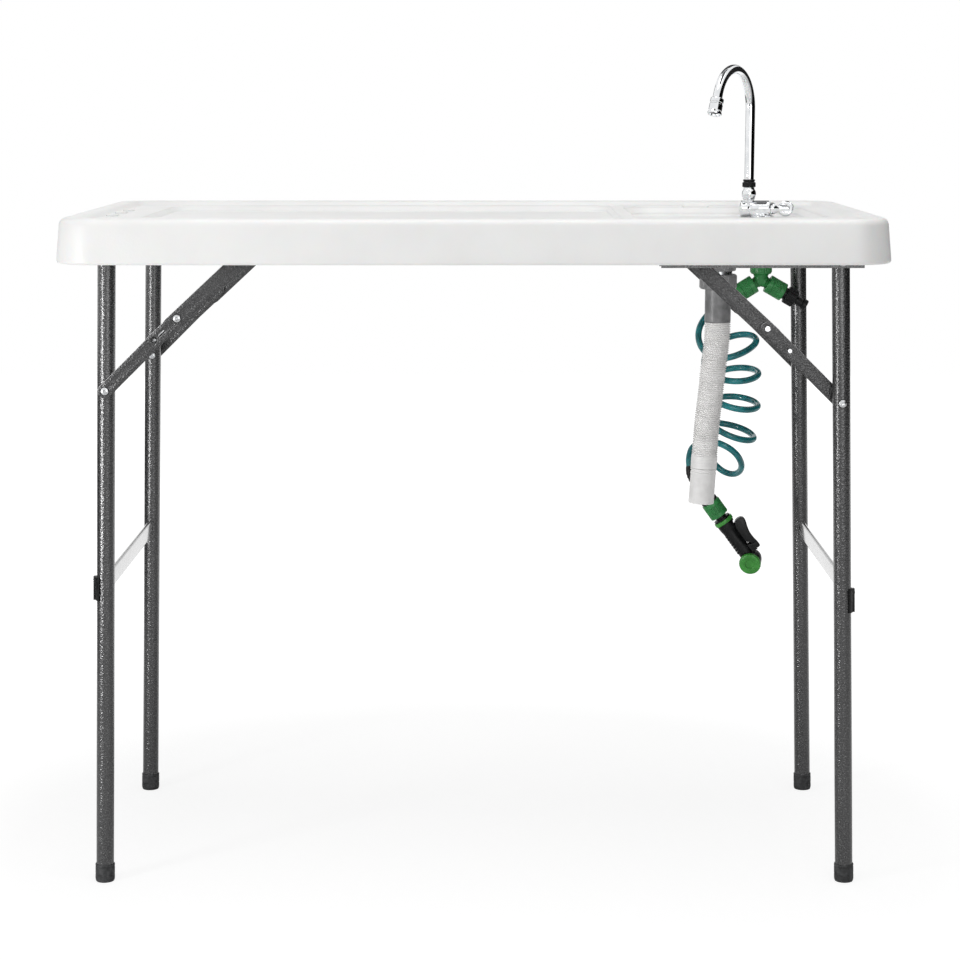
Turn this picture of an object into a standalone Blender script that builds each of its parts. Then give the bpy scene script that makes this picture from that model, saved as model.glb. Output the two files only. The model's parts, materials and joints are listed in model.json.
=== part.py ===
"""Foldable camping sink: a folding table with a basin, a tap, a drain hose and a coiled spray hose.

Metres, +Z up. The origin is on the floor under the middle of the table top, +X is to the right and
-Y is the front, as a person washing up stands. The table is drawn unfolded.
"""

import math

import bmesh
import bpy
from mathutils import Matrix, Vector

# Table top, a blow-moulded panel with a deep skirt
TABLE_LENGTH = 1.150
TABLE_WIDTH = 0.590
TABLE_HEIGHT = 0.954
SKIRT_DEPTH = 0.063
SKIRT_WALL = 0.011
SKIRT_DRAFT = 0.0045
PLAN_CORNER_RADIUS = 0.058
RIM_EDGE_RADIUS = 0.009
RIM_WIDTH = 0.024
DECK_DROP = 0.010
PANEL_THICKNESS = 0.016
LIP_HEIGHT = 0.004

# Work area pressed into the deck, left of the basin
BOARD_LEFT_MARGIN = 0.105
BOARD_SIDE_MARGIN = 0.073
BOARD_TO_LEDGE = 0.033
BOARD_DROP = 0.003

# Basin and the low ledge round it
BASIN_LENGTH = 0.220
BASIN_DEPTH = 0.052
BASIN_WALL = 0.004
BASIN_DRAFT = 0.012
LEDGE_DROP = 0.012
LEDGE_LENGTH = 0.262
LEDGE_RIGHT_MARGIN = 0.075
LEDGE_FRONT_MARGIN = 0.081
LEDGE_BACK_MARGIN = 0.063
LEDGE_RIGHT_TO_BASIN_MIDDLE = 0.1395
LEDGE_FRONT_TO_BASIN = 0.024
LEDGE_BACK_TO_BASIN = 0.082
BASIN_BACK_TO_DRAIN = 0.150

# Leg frames
LEG_RADIUS = 0.0125
LEG_PIVOT_MARGIN = 0.0675
LEG_SIDE_MARGIN = 0.067
LEG_SPLAY = math.radians(1.65)
LEFT_PIVOT_BELOW_TOP = 0.0174
RIGHT_PIVOT_BELOW_TOP = 0.0350
CROSSBAR_Z = 0.436
CROSSBAR_HEIGHT = 0.027
CROSSBAR_THICKNESS = 0.006
FOOT_RADIUS = 0.0139
FOOT_HEIGHT = 0.026
FOOT_SOLE = 0.006
CLIP_HEIGHT = 0.034
CLIP_BELOW_PIVOT = 0.480

# Folding braces
BRACE_LEG_OFFSET = 0.198
LOWER_LINK_LENGTH = 0.145
BRACE_TOP_FROM_PIVOT = 0.20145
OVER_CENTRE = 0.0025
LINK_THICKNESS = 0.002
LOWER_LINK_WIDTH = 0.020
UPPER_LINK_WIDTH = 0.023
TONGUE_LENGTH = 0.052
TONGUE_WIDTH = 0.0205
LOCK_HOLE_RADIUS = 0.0035
LOCK_HOLE_FROM_KNEE = 0.044
KNEE_RIVET_OFFSET = 0.0015

# Rivets and bolts
RIVET_RADIUS = 0.0035
RIVET_HEAD_RADIUS = 0.0056
RIVET_HEAD_HEIGHT = 0.0022
BOLT_RADIUS = 0.004
BOLT_HEAD_RADIUS = 0.007
BOLT_HEAD_HEIGHT = 0.004

# Rails under the top, which carry the legs and the braces
RAIL_PAST_BRACE = 0.04805
RAIL_PAST_PIVOT = 0.0305
RAIL_SHEET = 0.002
LEFT_RAIL_HEIGHT = 0.029
RIGHT_RAIL_HEIGHT = 0.044

# Tap
TAP_RIGHT_MARGIN = 0.1293
LEDGE_BACK_TO_TAP = 0.042
TAP_TO_RISER = 0.0212
TAP_BODY_RADIUS = 0.0125
TAP_BODY_LEFT_REACH = 0.0367
TAP_BODY_RIGHT_REACH = 0.0118
TAP_BASE_RADIUS = 0.019
TAP_BASE_HEIGHT = 0.003
SHANK_RADIUS = 0.0100
SHANK_LENGTH = 0.064
SPOUT_RADIUS = 0.0075
SPOUT_TAIL_RADIUS = 0.0060
SPOUT_TAIL_LENGTH = 0.0095
SPOUT_TURN = math.radians(58.6)
SPOUT_ARC_RADIUS = 0.0595
SPOUT_ABOVE_TABLE = 0.2115
SPOUT_END_ANGLE = math.radians(164.0)
SPOUT_ARC_STEPS = 14
SOCKET_HEIGHT = 0.012
SOCKET_NUT_HEIGHT = 0.022
SOCKET_NUT_RADIUS = 0.0112
COLLAR_NUT_RADIUS = 0.0082
AERATOR_RADIUS = 0.0105
AERATOR_LENGTH = 0.026
HANDLE_REACH = 0.037
HANDLE_DISC_RADIUS = 0.0125

# Drain under the basin
DRAIN_FLANGE_RADIUS = 0.040
DRAIN_NECK_RADIUS = 0.0205
FLANGE_NUT_RADIUS = 0.0256
FLANGE_NUT_HEIGHT = 0.013
COUPLING_RADIUS = 0.0270
COUPLING_HEIGHT = 0.022
TAILPIECE_RADIUS = 0.0193
TAILPIECE_BELOW_COUPLING = 0.0491
TAILPIECE_SHOULDER = 0.0018
NUT_CHAMFER = 0.0011
DRAIN_HOSE_RADIUS = 0.0195
DRAIN_HOSE_VALLEY = 0.0180
DRAIN_HOSE_BORE = 0.0150
DRAIN_RIB_PITCH = 0.0028
CUFF_RADIUS = 0.0190
CUFF_LENGTH = 0.053
CUFF_WALL = 0.003

# Two-way splitter under the tap
SHANK_TO_SPLITTER_CENTRE = 0.0328
SPLITTER_COLLAR_RADIUS = 0.0165
SHANK_TO_COLLAR_BOTTOM = 0.0245
SPLITTER_BODY_RADIUS = 0.0105
LEFT_ARM_ANGLE = math.radians(32.0)
RIGHT_ARM_ANGLE = math.radians(30.0)
ARM_SPIGOT_RADIUS = 0.0085
SLEEVE_FROM_CENTRE = 0.0120
SLEEVE_LENGTH = 0.0295
SLEEVE_RADIUS = 0.0145
SLEEVE_WALL = 0.0045
SLEEVE_TRAVEL = 0.0035
ADAPTER_NUT_RADIUS = 0.0138
ADAPTER_NUT_LENGTH = 0.017
ADAPTER_NECK_RADIUS = 0.0070
ADAPTER_LENGTH = 0.052

# Coiled spray hose
HOSE_RADIUS = 0.0050
COIL_RADIUS = 0.0425
COIL_LEFT_OF_TAP = 0.0512
COIL_BEFORE_TAP = 0.0450
COIL_BELOW_SPLITTER = 0.0911
COIL_PITCH = 0.0505
COIL_TURNS = 3.27
COIL_TILT_BACK = 0.36
COIL_EXTRA_TILT = 0.18
COIL_TILT_RIGHT = 0.22
COIL_TILT_CHANGE = 0.16
COIL_SWAY = 0.004
COIL_DRIFT = 0.002
COIL_POINTS_PER_TURN = 24
BOOT_END_RADIUS = 0.0085
BOOT_START_RADIUS = 0.0056

# Spray gun at the end of the coiled hose
GUN_LEFT_OF_TAP = 0.0817
GUN_BEFORE_TAP = 0.0720
GUN_BELOW_SPLITTER = 0.3397
GUN_PITCH = math.radians(54.0)
GUN_SLEEVE_RADIUS = 0.0150
GUN_SLEEVE_LENGTH = 0.0300
GUN_RING_LENGTH = 0.0060
GUN_GRIP_RADIUS = 0.0120
GUN_GRIP_LENGTH = 0.0740
GUN_HEAD_RADIUS = 0.0165
GUN_HEAD_LENGTH = 0.0300
GUN_DIAL_RADIUS = 0.0168
GUN_DIAL_THICKNESS = 0.0070
TRIGGER_THICKNESS = 0.0140
TRIGGER_FROM_HEAD = 0.018
TRIGGER_FROM_AXIS = 0.0195
TRIGGER_PIN_RADIUS = 0.0020
TRIGGER_CHEEK = 0.0020

# Clearances
GAP = 0.0003
RUNNING_GAP = 0.0010
MERGE_DISTANCE = 0.00001

ROUND_STEPS = 16
SMALL_STEPS = 10

SKIRT_BOTTOM = TABLE_HEIGHT - SKIRT_DEPTH
DECK_Z = TABLE_HEIGHT - DECK_DROP
UNDERSIDE_Z = DECK_Z - PANEL_THICKNESS
LEDGE_Z = DECK_Z - LEDGE_DROP
BASIN_FLOOR_Z = LEDGE_Z - BASIN_DEPTH
BASIN_UNDERSIDE_Z = BASIN_FLOOR_Z - BASIN_WALL

LEDGE_RIGHT = TABLE_LENGTH / 2 - LEDGE_RIGHT_MARGIN
LEDGE_LEFT = LEDGE_RIGHT - LEDGE_LENGTH
LEDGE_FRONT = LEDGE_FRONT_MARGIN - TABLE_WIDTH / 2
LEDGE_BACK = TABLE_WIDTH / 2 - LEDGE_BACK_MARGIN
BASIN_X = LEDGE_RIGHT - LEDGE_RIGHT_TO_BASIN_MIDDLE
BASIN_FRONT = LEDGE_FRONT + LEDGE_FRONT_TO_BASIN
BASIN_BACK = LEDGE_BACK - LEDGE_BACK_TO_BASIN
BASIN_Y = (BASIN_FRONT + BASIN_BACK) / 2
BASIN_WIDTH = BASIN_BACK - BASIN_FRONT
DRAIN_Y = BASIN_BACK - BASIN_BACK_TO_DRAIN
BOARD_LEFT = BOARD_LEFT_MARGIN - TABLE_LENGTH / 2
BOARD_RIGHT = LEDGE_LEFT - BOARD_TO_LEDGE
BOARD_HALF_WIDTH = TABLE_WIDTH / 2 - BOARD_SIDE_MARGIN

LEG_PIVOT_X = TABLE_LENGTH / 2 - LEG_PIVOT_MARGIN
LEG_Y = TABLE_WIDTH / 2 - LEG_SIDE_MARGIN
LEFT_PIVOT_Z = UNDERSIDE_Z - LEFT_PIVOT_BELOW_TOP
RIGHT_PIVOT_Z = UNDERSIDE_Z - RIGHT_PIVOT_BELOW_TOP
BRACE_TOP_X = LEG_PIVOT_X - BRACE_TOP_FROM_PIVOT
RAIL_INNER_END = BRACE_TOP_X - RAIL_PAST_BRACE
RAIL_OUTER_END = LEG_PIVOT_X + RAIL_PAST_PIVOT

TAP_X = TABLE_LENGTH / 2 - TAP_RIGHT_MARGIN
TAP_Y = LEDGE_BACK - LEDGE_BACK_TO_TAP
RISER_X = TAP_X - TAP_TO_RISER
TAP_BODY_LEFT = TAP_X - TAP_BODY_LEFT_REACH
TAP_BODY_RIGHT = TAP_X + TAP_BODY_RIGHT_REACH
SHANK_BOTTOM = LEDGE_Z - SHANK_LENGTH
SPOUT_TOP = TABLE_HEIGHT + SPOUT_ABOVE_TABLE
SPLITTER_Z = SHANK_BOTTOM - SHANK_TO_SPLITTER_CENTRE
SPLITTER_COLLAR_BOTTOM = SHANK_BOTTOM - SHANK_TO_COLLAR_BOTTOM

UP = Vector((0, 0, 1))
RIGHTWARD = Vector((1, 0, 0))
BACKWARD = Vector((0, 1, 0))


def clear_scene():
    for old in list(bpy.data.objects):
        bpy.data.objects.remove(old)


def new_collection(name):
    collection = bpy.data.collections.new(name)
    bpy.context.scene.collection.children.link(collection)
    return collection


def material(name, colour, roughness, metallic=0.0):
    """A Principled material from an sRGB colour written as six hex digits."""
    channels = []
    for start in (0, 2, 4):
        value = int(colour[start:start + 2], 16) / 255
        channels.append(value / 12.92 if value <= 0.04045 else ((value + 0.055) / 1.055) ** 2.4)
    made = bpy.data.materials.new(name)
    made.use_nodes = True
    shader = made.node_tree.nodes["Principled BSDF"]
    shader.inputs["Base Color"].default_value = (*channels, 1.0)
    shader.inputs["Roughness"].default_value = roughness
    shader.inputs["Metallic"].default_value = metallic
    made.diffuse_color = (*channels, 1.0)
    return made


clear_scene()
PRODUCT = new_collection("foldable_camping_sink")
CUTTERS = new_collection("cutters")

WHITE_PLASTIC = material("white_polyethylene", "f2f2f1", 0.45)
HAMMERTONE = material("grey_hammertone_paint", "5a5a5b", 0.4, 0.3)
BLACK_RUBBER = material("black_rubber", "2b2b2c", 0.8)
BLACK_PLASTIC = material("black_plastic", "1d2021", 0.45)
ZINC = material("zinc_plated_steel", "b9bbbd", 0.3, 1.0)
CHROME = material("chrome", "dfe2e4", 0.08, 1.0)
STEEL = material("stainless_steel", "b4b6b8", 0.3, 1.0)
GREY_PLASTIC = material("grey_pvc", "8b8b8b", 0.45)
PALE_PLASTIC = material("pale_grey_pvc", "d2d0d0", 0.5)
GREEN_PLASTIC = material("green_abs", "2f8a40", 0.35)
LIME_PLASTIC = material("lime_abs", "3fa535", 0.35)
TEAL_HOSE = material("teal_polyurethane", "1f6f73", 0.25)


def place(body, at, toward, roll=0.0):
    """Turns an object so that its own Z points along toward, and moves it to at."""
    turn = Vector(toward).normalized().to_track_quat("Z", "Y").to_matrix().to_4x4()
    body.matrix_world = Matrix.Translation(at) @ turn @ Matrix.Rotation(roll, 4, "Z")


def new_object(name, mesh, finish, collection=None):
    body = bpy.data.objects.new(name, mesh)
    (collection or PRODUCT).objects.link(body)
    if finish:
        mesh.materials.append(finish)
    return body


def as_cutter(body):
    body.hide_render = True
    body.display_type = "WIRE"
    return body


def from_bmesh(name, shape, finish, collection=None):
    bmesh.ops.recalc_face_normals(shape, faces=shape.faces)
    mesh = bpy.data.meshes.new(name)
    shape.to_mesh(mesh)
    shape.free()
    return new_object(name, mesh, finish, collection)


def revolved(name, points, at, toward, finish, steps=ROUND_STEPS, collection=None, ring=False):
    """Turns (radius, height along toward) points, which run down the outer side, about an axis through at.

    A ring's last point joins its first. Otherwise both ends lie on the axis.
    """
    edges = [(i, i + 1) for i in range(len(points) - 1)]
    if ring:
        edges.append((len(points) - 1, 0))
    mesh = bpy.data.meshes.new(name)
    mesh.from_pydata([(radius, 0.0, height) for radius, height in points], edges, [])
    body = new_object(name, mesh, finish, collection)
    screw = body.modifiers.new("turn", "SCREW")
    screw.steps = steps
    screw.render_steps = steps
    screw.use_merge_vertices = True
    screw.merge_threshold = MERGE_DISTANCE
    screw.use_smooth_shade = True
    place(body, at, toward)
    return body


def turned(name, outer, at, toward, finish, bore=None, steps=ROUND_STEPS, collection=None):
    """A turned piece, solid or with a bore right through. outer runs from the lowest height up, bore down."""
    down = list(reversed(outer))
    if bore:
        return revolved(name, down + list(reversed(bore)), at, toward, finish, steps, collection, True)
    points = [(0.0, down[0][1])] + down + [(0.0, down[-1][1])]
    return revolved(name, points, at, toward, finish, steps, collection)


def cupped(name, outer, pocket, at, toward, finish, steps=ROUND_STEPS, collection=None):
    """A turned piece with a blind pocket in its top. pocket runs from its floor at the axis up to its mouth."""
    points = list(pocket) + list(reversed(outer)) + [(0.0, outer[0][1])]
    return revolved(name, points, at, toward, finish, steps, collection)


def cylinder_cutter(name, start, end, radius, steps=SMALL_STEPS):
    start, end = Vector(start), Vector(end)
    length = (end - start).length
    shape = turned(name, [(radius, 0.0), (radius, length)], start, end - start, None, None, steps, CUTTERS)
    return as_cutter(shape)


def combine(body, other, operation="DIFFERENCE"):
    change = body.modifiers.new(other.name, "BOOLEAN")
    change.operation = operation
    change.object = other
    return body


def bore_through(body, name, centre, axis, radius, length, steps=SMALL_STEPS):
    centre, axis = Vector(centre), Vector(axis).normalized()
    half = axis * (length / 2)
    combine(body, cylinder_cutter(name, centre - half, centre + half, radius, steps))


def arc(centre, radius, start, end, steps):
    """Points on an arc in a plane, both ends included. Angles in degrees."""
    turn = [math.radians(start + (end - start) * i / steps) for i in range(steps + 1)]
    return [(centre[0] + radius * math.cos(t), centre[1] + radius * math.sin(t)) for t in turn]


def plate(name, outlines, thickness, finish, at, along, across, collection=None):
    """A flat piece. Its outline lies in the plane of along and across, and holes are further outlines."""
    curve = bpy.data.curves.new(name, "CURVE")
    curve.dimensions = "2D"
    curve.fill_mode = "BOTH"
    curve.extrude = thickness / 2
    for outline in outlines:
        spline = curve.splines.new("POLY")
        spline.points.add(len(outline) - 1)
        for point, (x, y) in zip(spline.points, outline):
            point.co = (x, y, 0.0, 1.0)
        spline.use_cyclic_u = True
    drawn = bpy.data.objects.new(name + "_outline", curve)
    CUTTERS.objects.link(drawn)
    mesh = made_mesh(drawn, name)
    body = new_object(name, mesh, finish, collection)
    along, across = Vector(along).normalized(), Vector(across).normalized()
    normal = along.cross(across)
    body.matrix_world = Matrix.Translation(at) @ Matrix((along, across, normal)).transposed().to_4x4()
    return body


def made_mesh(drawn, name):
    """The mesh of a curve object with its caps welded. The curve is removed."""
    view = bpy.context.evaluated_depsgraph_get()
    mesh = bpy.data.meshes.new_from_object(drawn.evaluated_get(view))
    mesh.name = name
    mesh.materials.clear()
    shape = bmesh.new()
    shape.from_mesh(mesh)
    bmesh.ops.remove_doubles(shape, verts=shape.verts, dist=0.000001)
    bmesh.ops.recalc_face_normals(shape, faces=shape.faces)
    shape.to_mesh(mesh)
    shape.free()
    bpy.data.objects.remove(drawn)
    return mesh


def tube(name, points, radius, finish, resolution=2, radii=None, collection=None):
    """A round tube along points, made a mesh so that it can be cut."""
    curve = bpy.data.curves.new(name, "CURVE")
    curve.dimensions = "3D"
    curve.bevel_depth = radius
    curve.bevel_resolution = resolution
    curve.use_fill_caps = True
    curve.twist_mode = "MINIMUM"
    spline = curve.splines.new("POLY")
    spline.points.add(len(points) - 1)
    for i, (point, place_at) in enumerate(zip(spline.points, points)):
        point.co = (*place_at, 1.0)
        point.radius = radii[i] / radius if radii else 1.0
    drawn = bpy.data.objects.new(name + "_path", curve)
    CUTTERS.objects.link(drawn)
    body = new_object(name, made_mesh(drawn, name), finish, collection)
    body.data.shade_smooth()
    return body


def rounded_rectangle(half_x, half_y, radius, centre=(0.0, 0.0), corner_steps=5):
    corners = ((1, 1, 0), (-1, 1, 90), (-1, -1, 180), (1, -1, 270))
    points = []
    for side_x, side_y, start in corners:
        middle = (centre[0] + side_x * (half_x - radius), centre[1] + side_y * (half_y - radius))
        points += arc(middle, radius, start, start + 90, corner_steps)
    return points


def loft(name, rings, finish, collection=None):
    """A closed solid through rings of equal count. Each ring is (outline, height), the ends are capped."""
    shape = bmesh.new()
    rows = [[shape.verts.new((x, y, height)) for x, y in outline] for outline, height in rings]
    count = len(rows[0])
    for lower, upper in zip(rows, rows[1:]):
        for i in range(count):
            j = (i + 1) % count
            shape.faces.new((lower[i], lower[j], upper[j], upper[i]))
    shape.faces.new(rows[0])
    shape.faces.new(rows[-1])
    return from_bmesh(name, shape, finish, collection)


def box(name, low, high, finish=None, collection=None):
    shape = bmesh.new()
    bmesh.ops.create_cube(shape, size=1.0)
    low, high = Vector(low), Vector(high)
    for corner in shape.verts:
        corner.co = (low + high) / 2 + Vector(a * b for a, b in zip(corner.co, high - low))
    return from_bmesh(name, shape, finish, collection)


# Table top
def table_ring(inset, height):
    half_x = TABLE_LENGTH / 2 - inset
    half_y = TABLE_WIDTH / 2 - inset
    return rounded_rectangle(half_x, half_y, max(PLAN_CORNER_RADIUS - inset, 0.012)), height


def make_table_top():
    draft_top = SKIRT_DRAFT + RIM_EDGE_RADIUS
    edge = []
    for step in range(5):
        turn = math.radians(90 * step / 4)
        inset = draft_top - RIM_EDGE_RADIUS * math.cos(turn)
        edge.append(table_ring(inset, TABLE_HEIGHT - RIM_EDGE_RADIUS * (1 - math.sin(turn))))
    inner = draft_top + RIM_WIDTH
    rings = [
        table_ring(SKIRT_WALL + SKIRT_DRAFT + 0.006, UNDERSIDE_Z),
        table_ring(SKIRT_WALL + 0.002, UNDERSIDE_Z - 0.006),
        table_ring(SKIRT_WALL, SKIRT_BOTTOM),
        table_ring(0.0, SKIRT_BOTTOM),
        table_ring(0.0, SKIRT_BOTTOM + LIP_HEIGHT),
        table_ring(0.0012, SKIRT_BOTTOM + LIP_HEIGHT + 0.0008),
        *edge,
        table_ring(inner, TABLE_HEIGHT),
        table_ring(inner + 0.004, TABLE_HEIGHT - 0.0025),
        table_ring(inner + 0.009, DECK_Z + 0.0015),
        table_ring(inner + 0.013, DECK_Z),
    ]
    top = loft("table_top", rings, WHITE_PLASTIC)
    combine(top, make_basin_shell(), "UNION")
    combine(top, make_board_cutter())
    combine(top, make_ledge_cutter())
    combine(top, make_basin_cutter())
    drain = (BASIN_X, DRAIN_Y, BASIN_FLOOR_Z)
    bore_through(top, "drain_hole", drain, UP, DRAIN_NECK_RADIUS + RUNNING_GAP, 0.03, ROUND_STEPS)
    tap = (TAP_X, TAP_Y, LEDGE_Z)
    bore_through(top, "tap_hole", tap, UP, SHANK_RADIUS + RUNNING_GAP, 0.05, ROUND_STEPS)
    return top


def basin_ring(extra, height, draft):
    half_x = BASIN_LENGTH / 2 + extra - draft
    half_y = BASIN_WIDTH / 2 + extra - draft
    return rounded_rectangle(half_x, half_y, 0.034 - draft / 2 + extra, (BASIN_X, BASIN_Y)), height


def make_basin_shell():
    rings = [
        basin_ring(BASIN_WALL - 0.010, BASIN_UNDERSIDE_Z, BASIN_DRAFT),
        basin_ring(BASIN_WALL - 0.002, BASIN_UNDERSIDE_Z + 0.004, BASIN_DRAFT),
        basin_ring(BASIN_WALL, BASIN_UNDERSIDE_Z + 0.012, BASIN_DRAFT * 0.85),
        basin_ring(BASIN_WALL, UNDERSIDE_Z + 0.002, 0.0),
    ]
    return as_cutter(loft("basin_shell", rings, None, CUTTERS))


def make_basin_cutter():
    rings = [
        basin_ring(-0.010, BASIN_FLOOR_Z, BASIN_DRAFT),
        basin_ring(-0.002, BASIN_FLOOR_Z + 0.004, BASIN_DRAFT),
        basin_ring(0.0, BASIN_FLOOR_Z + 0.012, BASIN_DRAFT * 0.85),
        basin_ring(0.0, LEDGE_Z - 0.004, 0.001),
        basin_ring(0.004, LEDGE_Z, 0.0),
        basin_ring(0.006, LEDGE_Z + 0.020, 0.0),
    ]
    return as_cutter(loft("basin_hollow", rings, None, CUTTERS))


def make_ledge_cutter():
    centre = ((LEDGE_LEFT + LEDGE_RIGHT) / 2, (LEDGE_FRONT + LEDGE_BACK) / 2)
    half_x = (LEDGE_RIGHT - LEDGE_LEFT) / 2
    half_y = (LEDGE_BACK - LEDGE_FRONT) / 2
    rings = []
    for inset, height in ((0.004, 0.0), (0.001, 0.002), (0.0, 0.005), (-0.008, LEDGE_DROP), (-0.010, 0.018)):
        outline = rounded_rectangle(half_x - inset, half_y - inset, 0.040 - inset, centre)
        rings.append((outline, LEDGE_Z + height))
    return as_cutter(loft("ledge_hollow", rings, None, CUTTERS))


def make_board_cutter():
    centre = ((BOARD_LEFT + BOARD_RIGHT) / 2, 0.0)
    half_x = (BOARD_RIGHT - BOARD_LEFT) / 2
    rings = []
    for inset, height in ((0.0015, 0.0), (0.0, 0.001), (-0.003, BOARD_DROP), (-0.004, BOARD_DROP + 0.006)):
        outline = rounded_rectangle(half_x - inset, BOARD_HALF_WIDTH - inset, 0.024 - inset, centre)
        rings.append((outline, DECK_Z - BOARD_DROP + height))
    return as_cutter(loft("board_hollow", rings, None, CUTTERS))


# Leg frames. A side is -1 on the left and 1 on the right; depth is -1 at the front and 1 at the back
SIDES = {"left": -1, "right": 1}
DEPTHS = {"front": -1, "rear": 1}


def pivot_z(side):
    return LEFT_PIVOT_Z if side < 0 else RIGHT_PIVOT_Z


def brace_side(side, depth):
    """Which way the brace lies from its leg: outwards on the left, to the rear on the right."""
    return depth if side < 0 else 1


def leg_down(side):
    return Vector((side * math.sin(LEG_SPLAY), 0.0, -math.cos(LEG_SPLAY)))


def leg_pivot(side, depth=0):
    return Vector((side * LEG_PIVOT_X, depth * LEG_Y, pivot_z(side)))


def leg_length(side):
    return pivot_z(side) / math.cos(LEG_SPLAY)


def leg_point(side, depth, along):
    return leg_pivot(side, depth) + leg_down(side) * along


LOWER_LINK_OUT = LEG_RADIUS + GAP + LINK_THICKNESS / 2
RIVET_HEAD_OUT = LOWER_LINK_OUT + LINK_THICKNESS / 2 + GAP
UPPER_LINK_OUT = RIVET_HEAD_OUT + RIVET_HEAD_HEIGHT + GAP + LINK_THICKNESS / 2
RAIL_WALL_OUT = UPPER_LINK_OUT + LINK_THICKNESS / 2 + GAP
RAIL_WALL_IN = LEG_RADIUS + GAP + RIVET_HEAD_HEIGHT + RUNNING_GAP


def link_points(side):
    """Leg rivet, knee and top pin of a brace in the XZ plane, unfolded, a little over centre."""
    rivet = leg_point(side, 0, BRACE_LEG_OFFSET)
    top = Vector((side * BRACE_TOP_X, 0.0, pivot_z(side)))
    line = (top - rivet).normalized()
    over = Vector((side * abs(line.z), 0.0, abs(line.x)))
    along = math.sqrt(LOWER_LINK_LENGTH ** 2 - OVER_CENTRE ** 2)
    return rivet, rivet + line * along + over * OVER_CENTRE, top


def dome_head(radius, height, base):
    """Profile of a domed head that starts at base, from its flat side up."""
    return [(radius, base), (radius * 0.92, base + height * 0.6), (radius * 0.5, base + height)]


def make_leg(name, side, depth):
    length = leg_length(side) - FOOT_SOLE - GAP
    crown = [(LEG_RADIUS * math.cos(math.radians(t)), -LEG_RADIUS * math.sin(math.radians(t)))
             for t in (70, 45, 20)]
    profile = crown + [(LEG_RADIUS, 0.0), (LEG_RADIUS, length)]
    leg = turned(name, profile, leg_pivot(side, depth), leg_down(side), HAMMERTONE)
    bore_through(leg, name + "_pivot_bore", leg_pivot(side, depth), BACKWARD, BOLT_RADIUS + GAP, 0.04)
    rivet = leg_point(side, depth, BRACE_LEG_OFFSET)
    bore_through(leg, name + "_rivet_bore", rivet, BACKWARD, RIVET_RADIUS + GAP, 0.04)
    return leg


def make_foot(name, side, depth):
    floor_point = leg_point(side, depth, leg_length(side))
    outer = [(FOOT_RADIUS - 0.0015, -0.002), (FOOT_RADIUS - 0.0005, 0.002), (FOOT_RADIUS, 0.005),
             (FOOT_RADIUS, FOOT_HEIGHT - 0.002), (FOOT_RADIUS - 0.0008, FOOT_HEIGHT)]
    pocket = [(0.0, FOOT_SOLE), (LEG_RADIUS + GAP, FOOT_SOLE), (LEG_RADIUS + GAP, FOOT_HEIGHT)]
    foot = cupped(name, outer, pocket, floor_point, -leg_down(side), BLACK_RUBBER)
    below = box(name + "_floor", floor_point + Vector((-0.03, -0.03, -0.02)),
                floor_point + Vector((0.03, 0.03, 0.0)), None, CUTTERS)
    combine(foot, as_cutter(below))
    return foot


def make_crossbar(name, side):
    along = (pivot_z(side) - CROSSBAR_Z) / math.cos(LEG_SPLAY)
    half = CROSSBAR_HEIGHT / 2
    outline = rounded_rectangle(half, CROSSBAR_THICKNESS / 2, CROSSBAR_THICKNESS / 2 - 0.0005, (0, 0), 3)
    length = 2 * (LEG_Y - LEG_RADIUS - GAP)
    down = leg_down(side)
    return plate(name, [outline], length, HAMMERTONE, leg_point(side, 0, along), down, BACKWARD.cross(down))


def make_leg_clip(name, side):
    """A sprung clip on the outside of the front leg that grips the other frame when folded."""
    centre = leg_point(side, -1, CLIP_BELOW_PIVOT)
    out = Vector((side * math.cos(LEG_SPLAY), 0.0, math.sin(LEG_SPLAY)))
    down = leg_down(side)
    inner = LEG_RADIUS + GAP
    outline = arc((0.0, 0.0), inner, -58, 58, 10) + arc((0.0, 0.0), inner + 0.0022, 58, 14, 4)
    outline += [(inner + 0.0046, 0.0030), (inner + 0.0046, -0.0030)]
    outline += arc((0.0, 0.0), inner + 0.0022, -14, -58, 4)
    across = down.cross(out)
    return plate(name, [outline], CLIP_HEIGHT, BLACK_PLASTIC, centre, out, across)


def make_lower_link(name, side, depth):
    rivet, knee, _ = link_points(side)
    direction = (knee - rivet).normalized()
    half = LOWER_LINK_WIDTH / 2
    length = LOWER_LINK_LENGTH
    outline = arc((0.0, 0.0), half, 90, 270, 8) + arc((length, 0.0), half, -90, 90, 8)
    rivet_hole = arc((0.0, 0.0), RIVET_RADIUS + GAP, 0, 360 - 360 / SMALL_STEPS, SMALL_STEPS - 1)
    knee_hole = arc((length, 0.0), RIVET_RADIUS + GAP, 0, 360 - 360 / SMALL_STEPS, SMALL_STEPS - 1)
    lock = arc((length - LOCK_HOLE_FROM_KNEE, 0.0), LOCK_HOLE_RADIUS, 0, 360 - 360 / SMALL_STEPS, SMALL_STEPS - 1)
    out = brace_side(side, depth)
    at = rivet + BACKWARD * (depth * LEG_Y + out * LOWER_LINK_OUT)
    return plate(name, [outline, rivet_hole, knee_hole, lock], LINK_THICKNESS, HAMMERTONE, at, direction,
                 BACKWARD.cross(direction))


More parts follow.
